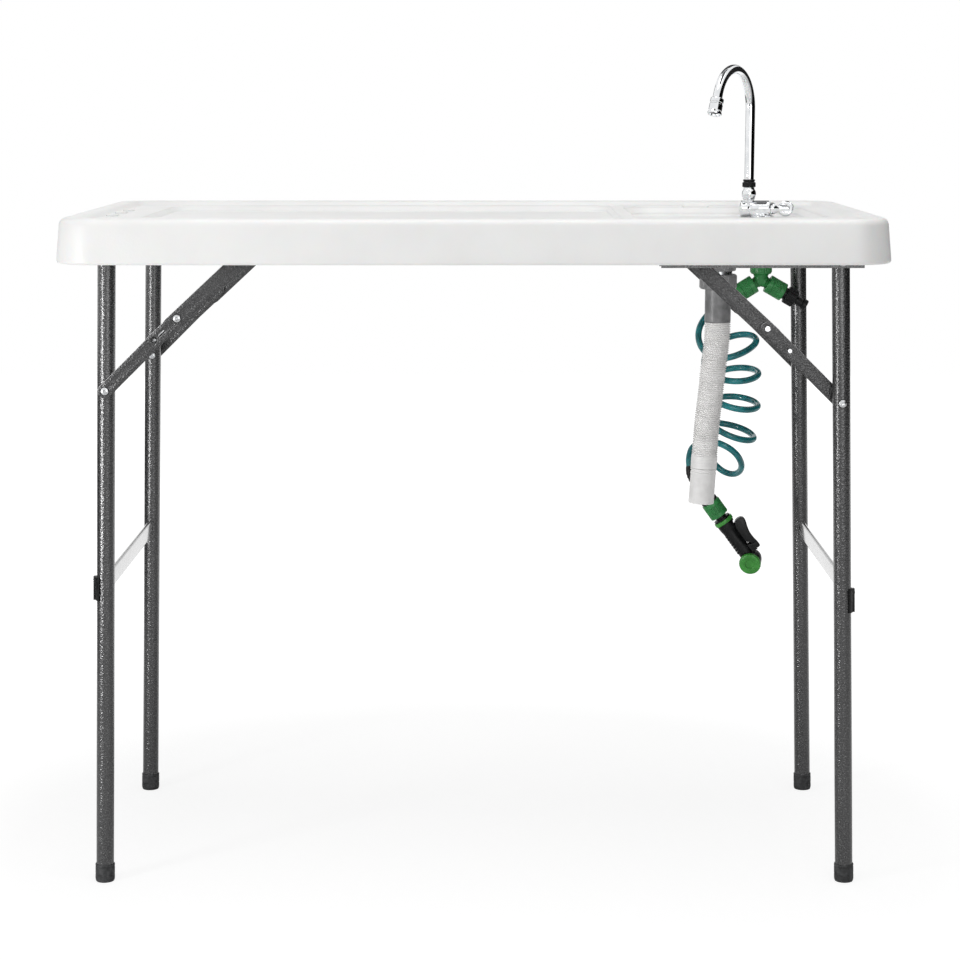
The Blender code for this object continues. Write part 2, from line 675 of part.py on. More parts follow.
def make_upper_link(name, side, depth):
    _, knee, top = link_points(side)
    direction = (knee - top).normalized()
    length = (knee - top).length
    out = brace_side(side, depth)
    across = BACKWARD.cross(direction)
    low = 1 if across.z < 0 else -1
    half = UPPER_LINK_WIDTH / 2
    tongue = TONGUE_WIDTH / 2
    shift = low * KNEE_RIVET_OFFSET
    shoulder = length + 0.014
    tip = length + TONGUE_LENGTH
    outline = arc((0.0, 0.0), half - 0.001, 90, 270, 8)
    outline += [(0.016, shift - half), (shoulder, shift - half), (shoulder + 0.005, shift - tongue)]
    outline += [(tip - 0.004, shift - tongue), (tip, shift - tongue + 0.004)]
    outline += [(tip, shift + tongue - 0.004), (tip - 0.004, shift + tongue)]
    outline += [(shoulder + 0.005, shift + tongue), (shoulder, shift + half), (0.016, shift + half)]
    lock = arc((length + LOCK_HOLE_FROM_KNEE, 0.0), LOCK_HOLE_RADIUS, 0, 360 - 360 / SMALL_STEPS, SMALL_STEPS - 1)
    pin_hole = arc((0.0, 0.0), RIVET_RADIUS + GAP, 0, 360 - 360 / SMALL_STEPS, SMALL_STEPS - 1)
    slot_x = length + 0.024
    slot = [(slot_x, shift - 0.001), (slot_x + 0.011, shift - 0.001), (slot_x + 0.011, shift + 0.0008),
            (slot_x, shift + 0.0008)]
    at = top + BACKWARD * (depth * LEG_Y + out * UPPER_LINK_OUT)
    link = plate(name, [outline, pin_hole, lock, slot], LINK_THICKNESS, HAMMERTONE, at, direction, across)
    knee_at = knee + BACKWARD * (depth * LEG_Y)
    outward = BACKWARD * out
    boss_low = RIVET_HEAD_OUT
    face = UPPER_LINK_OUT + LINK_THICKNESS / 2
    profile = [(RIVET_HEAD_RADIUS + 0.001, boss_low), (RIVET_HEAD_RADIUS + 0.001, face - 0.0002)]
    profile += dome_head(RIVET_HEAD_RADIUS, RIVET_HEAD_HEIGHT, face - 0.0002)
    rivet = turned(name + "_knee_rivet", profile, knee_at, outward, None, None, SMALL_STEPS, CUTTERS)
    combine(link, as_cutter(rivet), "UNION")
    return link


def make_leg_rivet(name, side, depth):
    """The rivet on which the lower link turns: its far head is on the other side of the leg."""
    out = brace_side(side, depth)
    at = leg_point(side, depth, BRACE_LEG_OFFSET)
    far = -(LEG_RADIUS + GAP)
    profile = [(r, 2 * far - h) for r, h in reversed(dome_head(RIVET_HEAD_RADIUS, RIVET_HEAD_HEIGHT, far))]
    profile += [(RIVET_RADIUS, far), (RIVET_RADIUS, RIVET_HEAD_OUT)]
    profile += dome_head(RIVET_HEAD_RADIUS, RIVET_HEAD_HEIGHT, RIVET_HEAD_OUT)
    return turned(name, profile, at, BACKWARD * out, ZINC, None, SMALL_STEPS)


def make_rail(name, side, depth):
    """A steel channel, open downwards, screwed under the top."""
    out = brace_side(side, depth)
    bottom = UNDERSIDE_Z - (LEFT_RAIL_HEIGHT if side < 0 else RIGHT_RAIL_HEIGHT)
    top = UNDERSIDE_Z - GAP
    near, far = -RAIL_WALL_IN, RAIL_WALL_OUT
    sheet = RAIL_SHEET
    outline = [(near - sheet, bottom), (near, bottom), (near, top - sheet), (far, top - sheet),
               (far, bottom), (far + sheet, bottom), (far + sheet, top), (near - sheet, top)]
    outline = [(depth * LEG_Y + out * y, z) for y, z in outline]
    if out < 0:
        outline.reverse()
    middle = side * (RAIL_INNER_END + RAIL_OUTER_END) / 2
    rail = plate(name, [outline], RAIL_OUTER_END - RAIL_INNER_END, HAMMERTONE, (middle, 0, 0), BACKWARD, UP)
    bore_through(rail, name + "_bolt_bore", leg_pivot(side, depth), BACKWARD, BOLT_RADIUS + GAP, 0.08)
    combine(rail, brace_stud(name + "_stud", side, depth), "UNION")
    return rail


def make_pivot_bolt(name, side, depth):
    """The bolt through the rail and the leg, with a spacer on the brace side."""
    out = brace_side(side, depth)
    low = -(RAIL_WALL_IN + RAIL_SHEET + GAP)
    high = RAIL_WALL_OUT + RAIL_SHEET + GAP
    spacer = LEG_RADIUS + GAP
    profile = [(r, 2 * low - h) for r, h in reversed(dome_head(BOLT_HEAD_RADIUS, BOLT_HEAD_HEIGHT, low))]
    profile += [(BOLT_RADIUS, low), (BOLT_RADIUS, spacer), (BOLT_RADIUS + 0.0022, spacer)]
    profile += [(BOLT_RADIUS + 0.0022, RAIL_WALL_OUT - GAP), (BOLT_RADIUS, RAIL_WALL_OUT - GAP)]
    profile += [(BOLT_RADIUS, high)]
    profile += dome_head(BOLT_HEAD_RADIUS, BOLT_HEAD_HEIGHT, high)
    return turned(name, profile, leg_pivot(side, depth), BACKWARD * out, ZINC, None, SMALL_STEPS)


def brace_stud(name, side, depth):
    """The stud riveted in the rail's wall, on which the upper link hangs."""
    out = brace_side(side, depth)
    at = Vector((side * BRACE_TOP_X, depth * LEG_Y, pivot_z(side)))
    face = RAIL_WALL_OUT + RAIL_SHEET
    profile = [(RIVET_RADIUS, UPPER_LINK_OUT - LINK_THICKNESS / 2), (RIVET_RADIUS, face - RAIL_SHEET / 2)]
    profile += dome_head(RIVET_HEAD_RADIUS, RIVET_HEAD_HEIGHT + RAIL_SHEET / 2, face - RAIL_SHEET / 2)
    return as_cutter(turned(name, profile, at, BACKWARD * out, None, None, SMALL_STEPS, CUTTERS))


def make_frames():
    for side_name, side in SIDES.items():
        for depth_name, depth in DEPTHS.items():
            corner = side_name + "_" + depth_name
            make_leg(corner + "_leg", side, depth)
            make_foot(corner + "_foot", side, depth)
            make_lower_link(corner + "_lower_link", side, depth)
            make_upper_link(corner + "_upper_link", side, depth)
            make_leg_rivet(corner + "_leg_rivet", side, depth)
            make_rail(corner + "_rail", side, depth)
            make_pivot_bolt(corner + "_pivot_bolt", side, depth)
        make_crossbar(side_name + "_crossbar", side)
        make_leg_clip(side_name + "_leg_clip", side)


# Tap
TAP_AXIS_Z = LEDGE_Z + GAP + TAP_BASE_HEIGHT * 0.2 + TAP_BODY_RADIUS
SOCKET_TOP = TAP_AXIS_Z + TAP_BODY_RADIUS * 0.85 + SOCKET_NUT_HEIGHT
COLLAR_TOP = SOCKET_TOP + SOCKET_HEIGHT


def make_tap_body():
    length = TAP_BODY_RIGHT - TAP_BODY_LEFT
    r = TAP_BODY_RADIUS
    profile = [(r * 0.45, 0.0), (r * 0.80, 0.0012), (r, 0.0045), (r, 0.0150), (r * 0.94, 0.0154),
               (r * 0.94, 0.0164), (r, 0.0168), (r, length - 0.002), (r * 0.9, length)]
    body = turned("tap_body", profile, (TAP_BODY_LEFT, TAP_Y, TAP_AXIS_Z), RIGHTWARD, CHROME)
    base = LEDGE_Z + GAP
    foot = [(TAP_BASE_RADIUS, 0.0), (TAP_BASE_RADIUS, 0.0012), (TAP_BASE_RADIUS * 0.8, TAP_BASE_HEIGHT),
            (TAP_BODY_RADIUS * 0.86, TAP_BASE_HEIGHT + 0.001), (TAP_BODY_RADIUS * 0.86, TAP_BODY_RADIUS * 0.9)]
    stand = turned("tap_stand", foot, (TAP_X, TAP_Y, base), UP, None, None, ROUND_STEPS, CUTTERS)
    combine(body, as_cutter(stand), "UNION")
    shank = turned("tap_shank", [(SHANK_RADIUS, 0.0), (SHANK_RADIUS, base - SHANK_BOTTOM + 0.002)],
                   (TAP_X, TAP_Y, SHANK_BOTTOM), UP, None, None, ROUND_STEPS, CUTTERS)
    combine(body, as_cutter(shank), "UNION")
    r = SOCKET_NUT_RADIUS
    low = TAP_AXIS_Z
    high = SOCKET_TOP - low
    dome = [(r * 0.72, 0.0), (r * 0.72, high - SOCKET_NUT_HEIGHT * 0.85), (r * 0.96, high - SOCKET_NUT_HEIGHT * 0.72),
            (r, high - SOCKET_NUT_HEIGHT * 0.45), (r * 0.93, high - SOCKET_NUT_HEIGHT * 0.18), (r * 0.74, high)]
    hole = SPOUT_TAIL_RADIUS + GAP
    pocket = [(0.0, high - SPOUT_TAIL_LENGTH - 0.002), (hole, high - SPOUT_TAIL_LENGTH - 0.002), (hole, high)]
    socket = cupped("tap_socket", dome, pocket, (RISER_X, TAP_Y, low), UP, None, ROUND_STEPS, CUTTERS)
    combine(body, as_cutter(socket), "UNION")
    return body


def make_tap_locknut():
    r = SHANK_RADIUS + 0.007
    outer = [(r - 0.001, 0.0), (r, 0.001), (r, 0.007), (r + 0.002, 0.0075), (r + 0.002, 0.0095)]
    bore = [(SHANK_RADIUS + GAP, 0.0095), (SHANK_RADIUS + GAP, 0.0)]
    at = (TAP_X, TAP_Y, UNDERSIDE_Z - GAP - 0.0095)
    return turned("tap_locknut", outer, at, UP, ZINC, bore)


def make_spout_collar():
    """The knurled nut that holds the spout in its socket."""
    r = COLLAR_NUT_RADIUS + 0.002
    outer = [(r * 0.92, 0.0), (r, 0.001), (r, SOCKET_HEIGHT * 0.55), (r * 0.86, SOCKET_HEIGHT * 0.7),
             (r * 0.92, SOCKET_HEIGHT)]
    bore = [(SPOUT_RADIUS + GAP, SOCKET_HEIGHT), (SPOUT_RADIUS + GAP, 0.0)]
    at = (RISER_X, TAP_Y, SOCKET_TOP + GAP)
    return turned("spout_collar", outer, at, UP, CHROME, bore, ROUND_STEPS)


def spout_heading():
    return Vector((-math.cos(SPOUT_TURN), -math.sin(SPOUT_TURN), 0.0))


def spout_centre():
    return Vector((RISER_X, TAP_Y, SPOUT_TOP - SPOUT_RADIUS - SPOUT_ARC_RADIUS)) \
        + spout_heading() * SPOUT_ARC_RADIUS


def spout_point(angle):
    """A point of the neck's arc, from 0 over the riser to a half turn."""
    ahead = -math.cos(angle) * SPOUT_ARC_RADIUS
    return spout_centre() + spout_heading() * ahead + UP * (math.sin(angle) * SPOUT_ARC_RADIUS)


def make_spout():
    foot = Vector((RISER_X, TAP_Y, SOCKET_TOP + GAP * 2))
    points = [foot]
    points += [spout_point(SPOUT_END_ANGLE * i / SPOUT_ARC_STEPS) for i in range(SPOUT_ARC_STEPS + 1)]
    spout = tube("spout", points, SPOUT_RADIUS, CHROME, 4)
    tail = turned("spout_tail", [(SPOUT_TAIL_RADIUS, 0.0), (SPOUT_TAIL_RADIUS, SPOUT_TAIL_LENGTH + 0.006)],
                  foot - UP * SPOUT_TAIL_LENGTH, UP, None, None, ROUND_STEPS, CUTTERS)
    combine(spout, as_cutter(tail), "UNION")
    return spout


def make_aerator():
    end = spout_point(SPOUT_END_ANGLE)
    ahead = (end - spout_point(SPOUT_END_ANGLE * (1 - 1 / SPOUT_ARC_STEPS))).normalized()
    r = AERATOR_RADIUS
    outer = [(r * 0.80, 0.0), (r, 0.0015), (r, 0.0075), (r * 0.90, 0.0080), (r * 0.90, 0.0100), (r, 0.0105),
             (r, AERATOR_LENGTH - 0.002), (r * 0.92, AERATOR_LENGTH)]
    pocket = [(0.0, AERATOR_LENGTH - 0.004), (r * 0.66, AERATOR_LENGTH - 0.004), (r * 0.70, AERATOR_LENGTH)]
    return cupped("aerator", outer, pocket, end + ahead * GAP, ahead, CHROME)


def make_tap_handle():
    """A quarter-turn lever: a hub on the body's end, a neck that flares, and a round dished end."""
    hub_at = Vector((TAP_BODY_RIGHT + GAP, TAP_Y, TAP_AXIS_Z))
    r = TAP_BODY_RADIUS
    hub = [(r * 0.70, 0.0), (r * 0.74, 0.0015), (r * 0.72, 0.0060), (r * 0.56, 0.0100), (r * 0.46, 0.0160),
           (r * 0.46, HANDLE_REACH - HANDLE_DISC_RADIUS * 0.7)]
    handle = turned("tap_handle", hub, hub_at, RIGHTWARD, CHROME)
    disc = [(HANDLE_DISC_RADIUS * 0.70, -0.0045), (HANDLE_DISC_RADIUS * 0.94, -0.0030), (HANDLE_DISC_RADIUS, 0.0),
            (HANDLE_DISC_RADIUS * 0.94, 0.0030), (HANDLE_DISC_RADIUS * 0.60, 0.0042),
            (HANDLE_DISC_RADIUS * 0.30, 0.0024)]
    disc_at = hub_at + RIGHTWARD * (HANDLE_REACH - HANDLE_DISC_RADIUS)
    end = turned("tap_handle_disc", disc, disc_at, (-0.25, -1.0, 0.35), None, None, ROUND_STEPS, CUTTERS)
    combine(handle, as_cutter(end), "UNION")
    return handle


def make_tap():
    make_tap_body()
    make_tap_locknut()
    make_spout_collar()
    make_spout()
    make_aerator()
    make_tap_handle()


# Drain
NECK_BOTTOM = BASIN_UNDERSIDE_Z - 0.022
FLANGE_NUT_TOP = BASIN_UNDERSIDE_Z - GAP
COUPLING_TOP = FLANGE_NUT_TOP - FLANGE_NUT_HEIGHT - 0.005
COUPLING_BOTTOM = COUPLING_TOP - COUPLING_HEIGHT
TAILPIECE_BOTTOM = COUPLING_BOTTOM - TAILPIECE_BELOW_COUPLING


def make_drain_strainer():
    """A dished steel strainer whose neck passes through the basin's floor."""
    floor = BASIN_FLOOR_Z + GAP
    r = DRAIN_FLANGE_RADIUS
    neck = DRAIN_NECK_RADIUS
    bottom = NECK_BOTTOM - floor
    points = [(0.0, -0.0045), (neck - 0.005, -0.0045), (neck - 0.002, -0.0015), (neck + 0.003, 0.0016),
              (r - 0.001, 0.0014), (r, 0.0), (neck, 0.0), (neck, bottom), (neck - 0.003, bottom),
              (neck - 0.004, -0.006), (0.0, -0.006)]
    strainer = revolved("drain_strainer", points, (BASIN_X, DRAIN_Y, floor), UP, STEEL)
    for index in range(6):
        turn = math.tau * index / 6
        centre = (BASIN_X + 0.0095 * math.cos(turn), DRAIN_Y + 0.0095 * math.sin(turn), floor - 0.005)
        bore_through(strainer, "strainer_hole_%d" % index, centre, UP, 0.0028, 0.006)
    bore_through(strainer, "strainer_hole_centre", (BASIN_X, DRAIN_Y, floor - 0.005), UP, 0.0028, 0.006)
    return strainer


def nut_profile(radius, height, chamfer):
    return [(radius - chamfer, 0.0), (radius, chamfer), (radius, height - chamfer), (radius - chamfer, height)]


def make_drain_fittings():
    threaded = DRAIN_NECK_RADIUS + GAP
    flange = nut_profile(FLANGE_NUT_RADIUS, FLANGE_NUT_HEIGHT, NUT_CHAMFER)
    bore = [(threaded, FLANGE_NUT_HEIGHT), (threaded, 0.0)]
    at = (BASIN_X, DRAIN_Y, FLANGE_NUT_TOP - FLANGE_NUT_HEIGHT)
    turned("drain_flange_nut", flange, at, UP, GREY_PLASTIC, bore)
    narrow = TAILPIECE_RADIUS - TAILPIECE_SHOULDER
    coupling = nut_profile(COUPLING_RADIUS, COUPLING_HEIGHT, 2 * NUT_CHAMFER)
    seat = NECK_BOTTOM - GAP - COUPLING_BOTTOM
    bore = [(threaded, COUPLING_HEIGHT), (threaded, seat), (narrow + GAP, seat), (narrow + GAP, 0.0)]
    turned("drain_coupling", coupling, (BASIN_X, DRAIN_Y, COUPLING_BOTTOM), UP, GREY_PLASTIC, bore)
    low = TAILPIECE_BOTTOM
    outer = [(TAILPIECE_RADIUS, 0.0), (TAILPIECE_RADIUS, COUPLING_BOTTOM - GAP - low),
             (narrow, COUPLING_BOTTOM - GAP - low), (narrow, NECK_BOTTOM - GAP - low)]
    bore = [(DRAIN_HOSE_BORE, NECK_BOTTOM - GAP - low), (DRAIN_HOSE_BORE, 0.0)]
    turned("drain_tailpiece", outer, (BASIN_X, DRAIN_Y, low), UP, GREY_PLASTIC, bore)


# The drain hose hangs from the tailpiece's mouth and leans to the left as it goes down
DRAIN_DROP = [
    (0.0, 0.0, 0.0),
    (0.0, 0.0, -0.0163),
    (-0.0015, 0.0, -0.0363),
    (-0.0056, 0.0, -0.0715),
    (-0.0097, 0.0, -0.1143),
    (-0.0139, 0.0, -0.1559),
    (-0.0164, 0.0, -0.1983),
    (-0.0176, 0.0, -0.2195),
]
DRAIN_ROUTE = [Vector((BASIN_X, DRAIN_Y, TAILPIECE_BOTTOM - GAP)) + Vector(drop) for drop in DRAIN_DROP]


def smooth_through(points, spacing):
    """Evenly spaced points on a smooth curve through points, with both ends kept."""
    chain = [Vector(p) for p in points]
    padded = [chain[0] * 2 - chain[1]] + chain + [chain[-1] * 2 - chain[-2]]
    fine = []
    for i in range(1, len(padded) - 2):
        before, start, end, after = padded[i - 1:i + 3]
        for step in range(16):
            t = step / 16
            fine.append(0.5 * (2 * start + (end - before) * t
                               + (2 * before - 5 * start + 4 * end - after) * t ** 2
                               + (3 * start - before - 3 * end + after) * t ** 3))
    fine.append(chain[-1])
    return evenly(fine, spacing)


def evenly(fine, spacing):
    total = sum((b - a).length for a, b in zip(fine, fine[1:]))
    count = max(2, round(total / spacing))
    step = total / count
    result = [fine[0]]
    walked = 0.0
    for a, b in zip(fine, fine[1:]):
        piece = (b - a).length
        while len(result) < count and walked + piece >= step * len(result):
            share = (step * len(result) - walked) / piece
            result.append(a.lerp(b, share))
        walked += piece
    result.append(fine[-1])
    return result


def path_length(points):
    return sum((b - a).length for a, b in zip(points, points[1:]))


def make_drain_hose():
    route = smooth_through(DRAIN_ROUTE, DRAIN_RIB_PITCH / 2)
    radii = []
    for i in range(len(route)):
        plain = i < 5 or i > len(route) - 8
        radii.append(DRAIN_HOSE_RADIUS if i % 2 == 0 or plain else DRAIN_HOSE_VALLEY)
    hose = tube("drain_hose", route, DRAIN_HOSE_RADIUS, PALE_PLASTIC, 2, radii)
    bore_route = smooth_through(DRAIN_ROUTE, 0.015)
    bore_route[0] = bore_route[0] + UP * 0.002
    bore_route[-1] = bore_route[-1] - UP * 0.002
    bore = tube("drain_hose_bore", bore_route, DRAIN_HOSE_BORE, None, 2, None, CUTTERS)
    combine(hose, as_cutter(bore))
    print("drain hose length %.3f m" % path_length(route))
    return hose


def make_drain_cuff():
    end = DRAIN_ROUTE[-1]
    heading = (end - DRAIN_ROUTE[-2]).normalized()
    r = CUFF_RADIUS
    outer = [(r, 0.0), (r, 0.002), (r - 0.0008, 0.003), (r - 0.0008, 0.005), (r, 0.006), (r, CUFF_LENGTH)]
    bore = [(r - CUFF_WALL, CUFF_LENGTH), (r - CUFF_WALL, 0.0)]
    return turned("drain_cuff", outer, end + heading * GAP, heading, PALE_PLASTIC, bore)


def make_drain():
    make_drain_strainer()
    make_drain_fittings()
    make_drain_hose()
    make_drain_cuff()


# Splitter
def arm_heading(side):
    angle = LEFT_ARM_ANGLE if side < 0 else RIGHT_ARM_ANGLE
    return Vector((side * math.cos(angle), 0.0, -math.sin(angle)))


def splitter_centre():
    return Vector((TAP_X, TAP_Y, SPLITTER_Z))


def make_splitter():
    collar_height = SHANK_BOTTOM - GAP - SPLITTER_COLLAR_BOTTOM
    r = SPLITTER_COLLAR_RADIUS
    profile = [(SPLITTER_BODY_RADIUS, -0.004), (r - 0.003, 0.0), (r, 0.002), (r, collar_height - 0.001),
               (r - 0.001, collar_height)]
    body = turned("splitter_body", profile, (TAP_X, TAP_Y, SPLITTER_COLLAR_BOTTOM), UP, GREEN_PLASTIC)
    stem = turned("splitter_stem", [(SPLITTER_BODY_RADIUS * 0.8, -0.004), (SPLITTER_BODY_RADIUS, 0.0),
                                    (SPLITTER_BODY_RADIUS, SPLITTER_COLLAR_BOTTOM - SPLITTER_Z)],
                  splitter_centre(), UP, None, None, ROUND_STEPS, CUTTERS)
    combine(body, as_cutter(stem), "UNION")
    for side, name in ((-1, "left"), (1, "right")):
        reach = SLEEVE_FROM_CENTRE + SLEEVE_LENGTH * 0.62
        profile = [(SPLITTER_BODY_RADIUS * 0.9, 0.0), (SPLITTER_BODY_RADIUS * 0.9, SLEEVE_FROM_CENTRE - 0.004),
                   (ARM_SPIGOT_RADIUS, SLEEVE_FROM_CENTRE - 0.003), (ARM_SPIGOT_RADIUS, reach)]
        arm = turned("splitter_arm_" + name, profile, splitter_centre(), arm_heading(side), None, None,
                     ROUND_STEPS, CUTTERS)
        combine(body, as_cutter(arm), "UNION")
    return body


def sleeve_profile(radius, length):
    """A gripping sleeve with two shallow grooves, from its back end."""
    r = radius
    return [(r - 0.0014, 0.0), (r, 0.0014), (r, length * 0.34), (r - 0.0008, length * 0.38),
            (r - 0.0008, length * 0.62), (r, length * 0.66), (r, length - 0.0014), (r - 0.0014, length)]


def make_sleeve(name, at, heading, radius, length, bore_radius):
    bore = [(bore_radius, length), (bore_radius, 0.0)]
    return turned(name, sleeve_profile(radius, length), at, heading, GREEN_PLASTIC, bore)


def make_splitter_sleeves():
    for side, name in ((-1, "left_sleeve"), (1, "right_sleeve")):
        at = splitter_centre() + arm_heading(side) * SLEEVE_FROM_CENTRE
        make_sleeve(name, at, arm_heading(side), SLEEVE_RADIUS, SLEEVE_LENGTH, SLEEVE_RADIUS - SLEEVE_WALL)


def make_hose_tail():
    """The hose end fitting that the left sleeve grips."""
    heading = arm_heading(-1)
    start = SLEEVE_FROM_CENTRE + SLEEVE_LENGTH * 0.62 + GAP
    end = SLEEVE_FROM_CENTRE + SLEEVE_LENGTH + SLEEVE_TRAVEL + 0.002
    r = SLEEVE_RADIUS - SLEEVE_WALL - GAP
    profile = [(r, 0.0), (r, SLEEVE_FROM_CENTRE + SLEEVE_LENGTH - start - 0.001), (r - 0.001, end - start)]
    return turned("hose_tail", profile, splitter_centre() + heading * start, heading, BLACK_PLASTIC)


def make_adapter():
    """The tap adapter in the right sleeve: a plug, a ribbed nut, a neck and an end ring."""
    heading = arm_heading(1)
    start = SLEEVE_FROM_CENTRE + SLEEVE_LENGTH * 0.62 + GAP
    nut = SLEEVE_FROM_CENTRE + SLEEVE_LENGTH + SLEEVE_TRAVEL + 0.0006 - start
    r = SLEEVE_RADIUS - SLEEVE_WALL - GAP
    neck = ADAPTER_NECK_RADIUS
    top = nut + ADAPTER_NUT_LENGTH
    end = ADAPTER_LENGTH
    outer = [(r, 0.0), (r, nut), (ADAPTER_NUT_RADIUS - 0.001, nut), (ADAPTER_NUT_RADIUS, nut + 0.001),
             (ADAPTER_NUT_RADIUS, top - 0.001), (ADAPTER_NUT_RADIUS - 0.002, top), (neck, top + 0.001),
             (neck, end - 0.008), (neck + 0.0018, end - 0.007), (neck + 0.0018, end)]
    bore = [(neck - 0.0025, end), (neck - 0.0025, 0.0)]
    return turned("hose_adapter", outer, splitter_centre() + heading * start, heading, BLACK_PLASTIC, bore)


# Coiled hose
def coil_point(turns):
    """A point of the coil. A whole number of turns is at the right, and the hose runs front, right, back, left.

    The turns lean as they hang: up at the back, and with the right side up at the top, the left side below.
    """
    angle = math.tau * turns
    sway = COIL_SWAY * math.sin(math.pi * min(1.0, turns / 3)) - COIL_DRIFT * max(0.0, turns - 2)
    tilt_back = COIL_TILT_BACK + COIL_EXTRA_TILT * max(0.0, 1 - turns)
    tilt_right = COIL_TILT_RIGHT - COIL_TILT_CHANGE * turns
    x = TAP_X - COIL_LEFT_OF_TAP + sway + COIL_RADIUS * math.cos(angle)
    y = TAP_Y - COIL_BEFORE_TAP + COIL_RADIUS * math.sin(angle)
    lean = tilt_back * math.sin(angle) + tilt_right * (math.cos(angle) - 1)
    return Vector((x, y, SPLITTER_Z - COIL_BELOW_SPLITTER - COIL_PITCH * turns + COIL_RADIUS * lean))


def hose_start():
    end = SLEEVE_FROM_CENTRE + SLEEVE_LENGTH + SLEEVE_TRAVEL + 0.002 + GAP
    return splitter_centre() + arm_heading(-1) * end


def gun_heading():
    return Vector((math.cos(GUN_PITCH), 0.0, -math.sin(GUN_PITCH)))


def gun_start():
    return splitter_centre() - Vector((GUN_LEFT_OF_TAP, GUN_BEFORE_TAP, GUN_BELOW_SPLITTER))


# Places on the hose, measured from the splitter's centre. It bows down on the left before its first turn,
# makes a last steep turn, and rises over a crest on the left before it drops into its boot
HOSE_LEAD_IN = [
    (-0.0602, -0.0010, -0.0367),
    (-0.0806, -0.0040, -0.0521),
    (-0.0947, -0.0150, -0.0683),
    (-0.1002, -0.0330, -0.0853),
    (-0.0969, -0.0540, -0.1011),
    (-0.0861, -0.0730, -0.1122),
    (-0.0709, -0.0840, -0.1164),
    (-0.0536, -0.0870, -0.1130),
    (-0.0355, -0.0820, -0.1069),
    (-0.0202, -0.0680, -0.1001),
]
HOSE_LEAD_OUT = [
    (-0.0796, -0.0130, -0.2239),
    (-0.0921, -0.0300, -0.2287),
    (-0.0962, -0.0510, -0.2360),
    (-0.0894, -0.0710, -0.2417),
    (-0.0734, -0.0830, -0.2450),
    (-0.0542, -0.0860, -0.2528),
    (-0.0392, -0.0780, -0.2673),
    (-0.0308, -0.0600, -0.2851),
    (-0.0329, -0.0380, -0.3004),
    (-0.0453, -0.0220, -0.3062),
    (-0.0597, -0.0150, -0.3001),
    (-0.0745, -0.0180, -0.2845),
    (-0.0874, -0.0270, -0.2664),
    (-0.0997, -0.0400, -0.2541),
    (-0.1100, -0.0520, -0.2571),
    (-0.1143, -0.0600, -0.2701),
]
BOOT_PLACES = [
    (-0.1132, -0.0645, -0.2859),
    (-0.1125, -0.0672, -0.2955),
    (-0.1082, -0.0695, -0.3052),
    (-0.0992, -0.0713, -0.3192),
]
ROUTE_SPACING = math.tau * COIL_RADIUS / COIL_POINTS_PER_TURN
BOOT_SPACING = 0.006


def from_splitter(places):
    return [splitter_centre() + Vector(place_at) for place_at in places]


def eased(points):
    """The same route with its sharper bends eased, and its two straight ends kept."""
    inner = [(a + 2 * b + c) / 4 for a, b, c in zip(points[1:], points[2:-1], points[3:])]
    return points[:2] + inner + points[-1:]


def hose_route():
    start, heading = hose_start(), arm_heading(-1)
    boot = from_splitter(BOOT_PLACES)
    arrive = (boot[1] - boot[0]).normalized()
    end = boot[0] - arrive * GAP
    straight = 2 * HOSE_RADIUS
    points = [start + heading * straight] + from_splitter(HOSE_LEAD_IN)
    steps = round(COIL_TURNS * COIL_POINTS_PER_TURN / 2)
    points += [coil_point(COIL_TURNS * i / steps) for i in range(steps + 1)]
    points += from_splitter(HOSE_LEAD_OUT) + [end - arrive * straight]
    middle = eased(eased(smooth_through(points, ROUTE_SPACING)))
    return [start] + middle + [end]


def least_gap(points, radius):
    """The least gap between two stretches of the hose that are more than a quarter turn apart."""
    apart = COIL_POINTS_PER_TURN // 4
    least = min((points[i] - points[j]).length
                for i in range(len(points)) for j in range(i + apart, len(points)))
    return least - 2 * radius


def tightest_bend(points):
    radii = []
    for a, b, c in zip(points, points[1:], points[2:]):
        area = (b - a).cross(c - a).length / 2
        if area > 1e-12:
            radii.append((b - a).length * (c - b).length * (c - a).length / (4 * area))
    return min(radii)


def make_coil_hose():
    route = hose_route()
    hose = tube("coil_hose", route, HOSE_RADIUS, TEAL_HOSE, 1)
    print("coil hose length %.3f m, least gap %.1f mm, tightest bend %.1f mm"
          % (path_length(route), least_gap(route, HOSE_RADIUS) * 1000, tightest_bend(route) * 1000))
    return hose


def make_hose_boot():
    """The tapered strain relief between the hose and the gun."""
    arrive = gun_heading()
    end = gun_start() - arrive * GAP
    points = from_splitter(BOOT_PLACES) + [end - arrive * (2 * HOSE_RADIUS), end]
    route = smooth_through(points, BOOT_SPACING)
    radii = [BOOT_START_RADIUS + (BOOT_END_RADIUS - BOOT_START_RADIUS) * i / (len(route) - 1)
             for i in range(len(route))]
    print("boot length %.3f m" % path_length(route))
    return tube("hose_boot", route, BOOT_END_RADIUS, BLACK_PLASTIC, 2, radii)


# Spray gun
def gun_point(along, out=0.0, forward=0.0):
    """A place on the gun: along its grip, out to its trigger side, and forward to the viewer."""
    side = BACKWARD.cross(gun_heading())
    if side.x < 0:
        side = -side
    return gun_start() + gun_heading() * along + side * out - BACKWARD * forward


def make_gun_connector():
    spigot = [(0.0085, 0.0), (0.0085, GUN_SLEEVE_LENGTH + 0.0045)]
    body = turned("gun_connector", spigot, gun_start(), gun_heading(), BLACK_PLASTIC)
    flange = turned("gun_connector_flange",
                    [(GUN_SLEEVE_RADIUS - 0.003, 0.0), (GUN_SLEEVE_RADIUS - 0.0015, 0.0008),
                     (GUN_SLEEVE_RADIUS - 0.0015, 0.0024)],
                    gun_point(GUN_SLEEVE_LENGTH + 0.0020), gun_heading(), None, None, ROUND_STEPS, CUTTERS)
    combine(body, as_cutter(flange), "UNION")
    return body


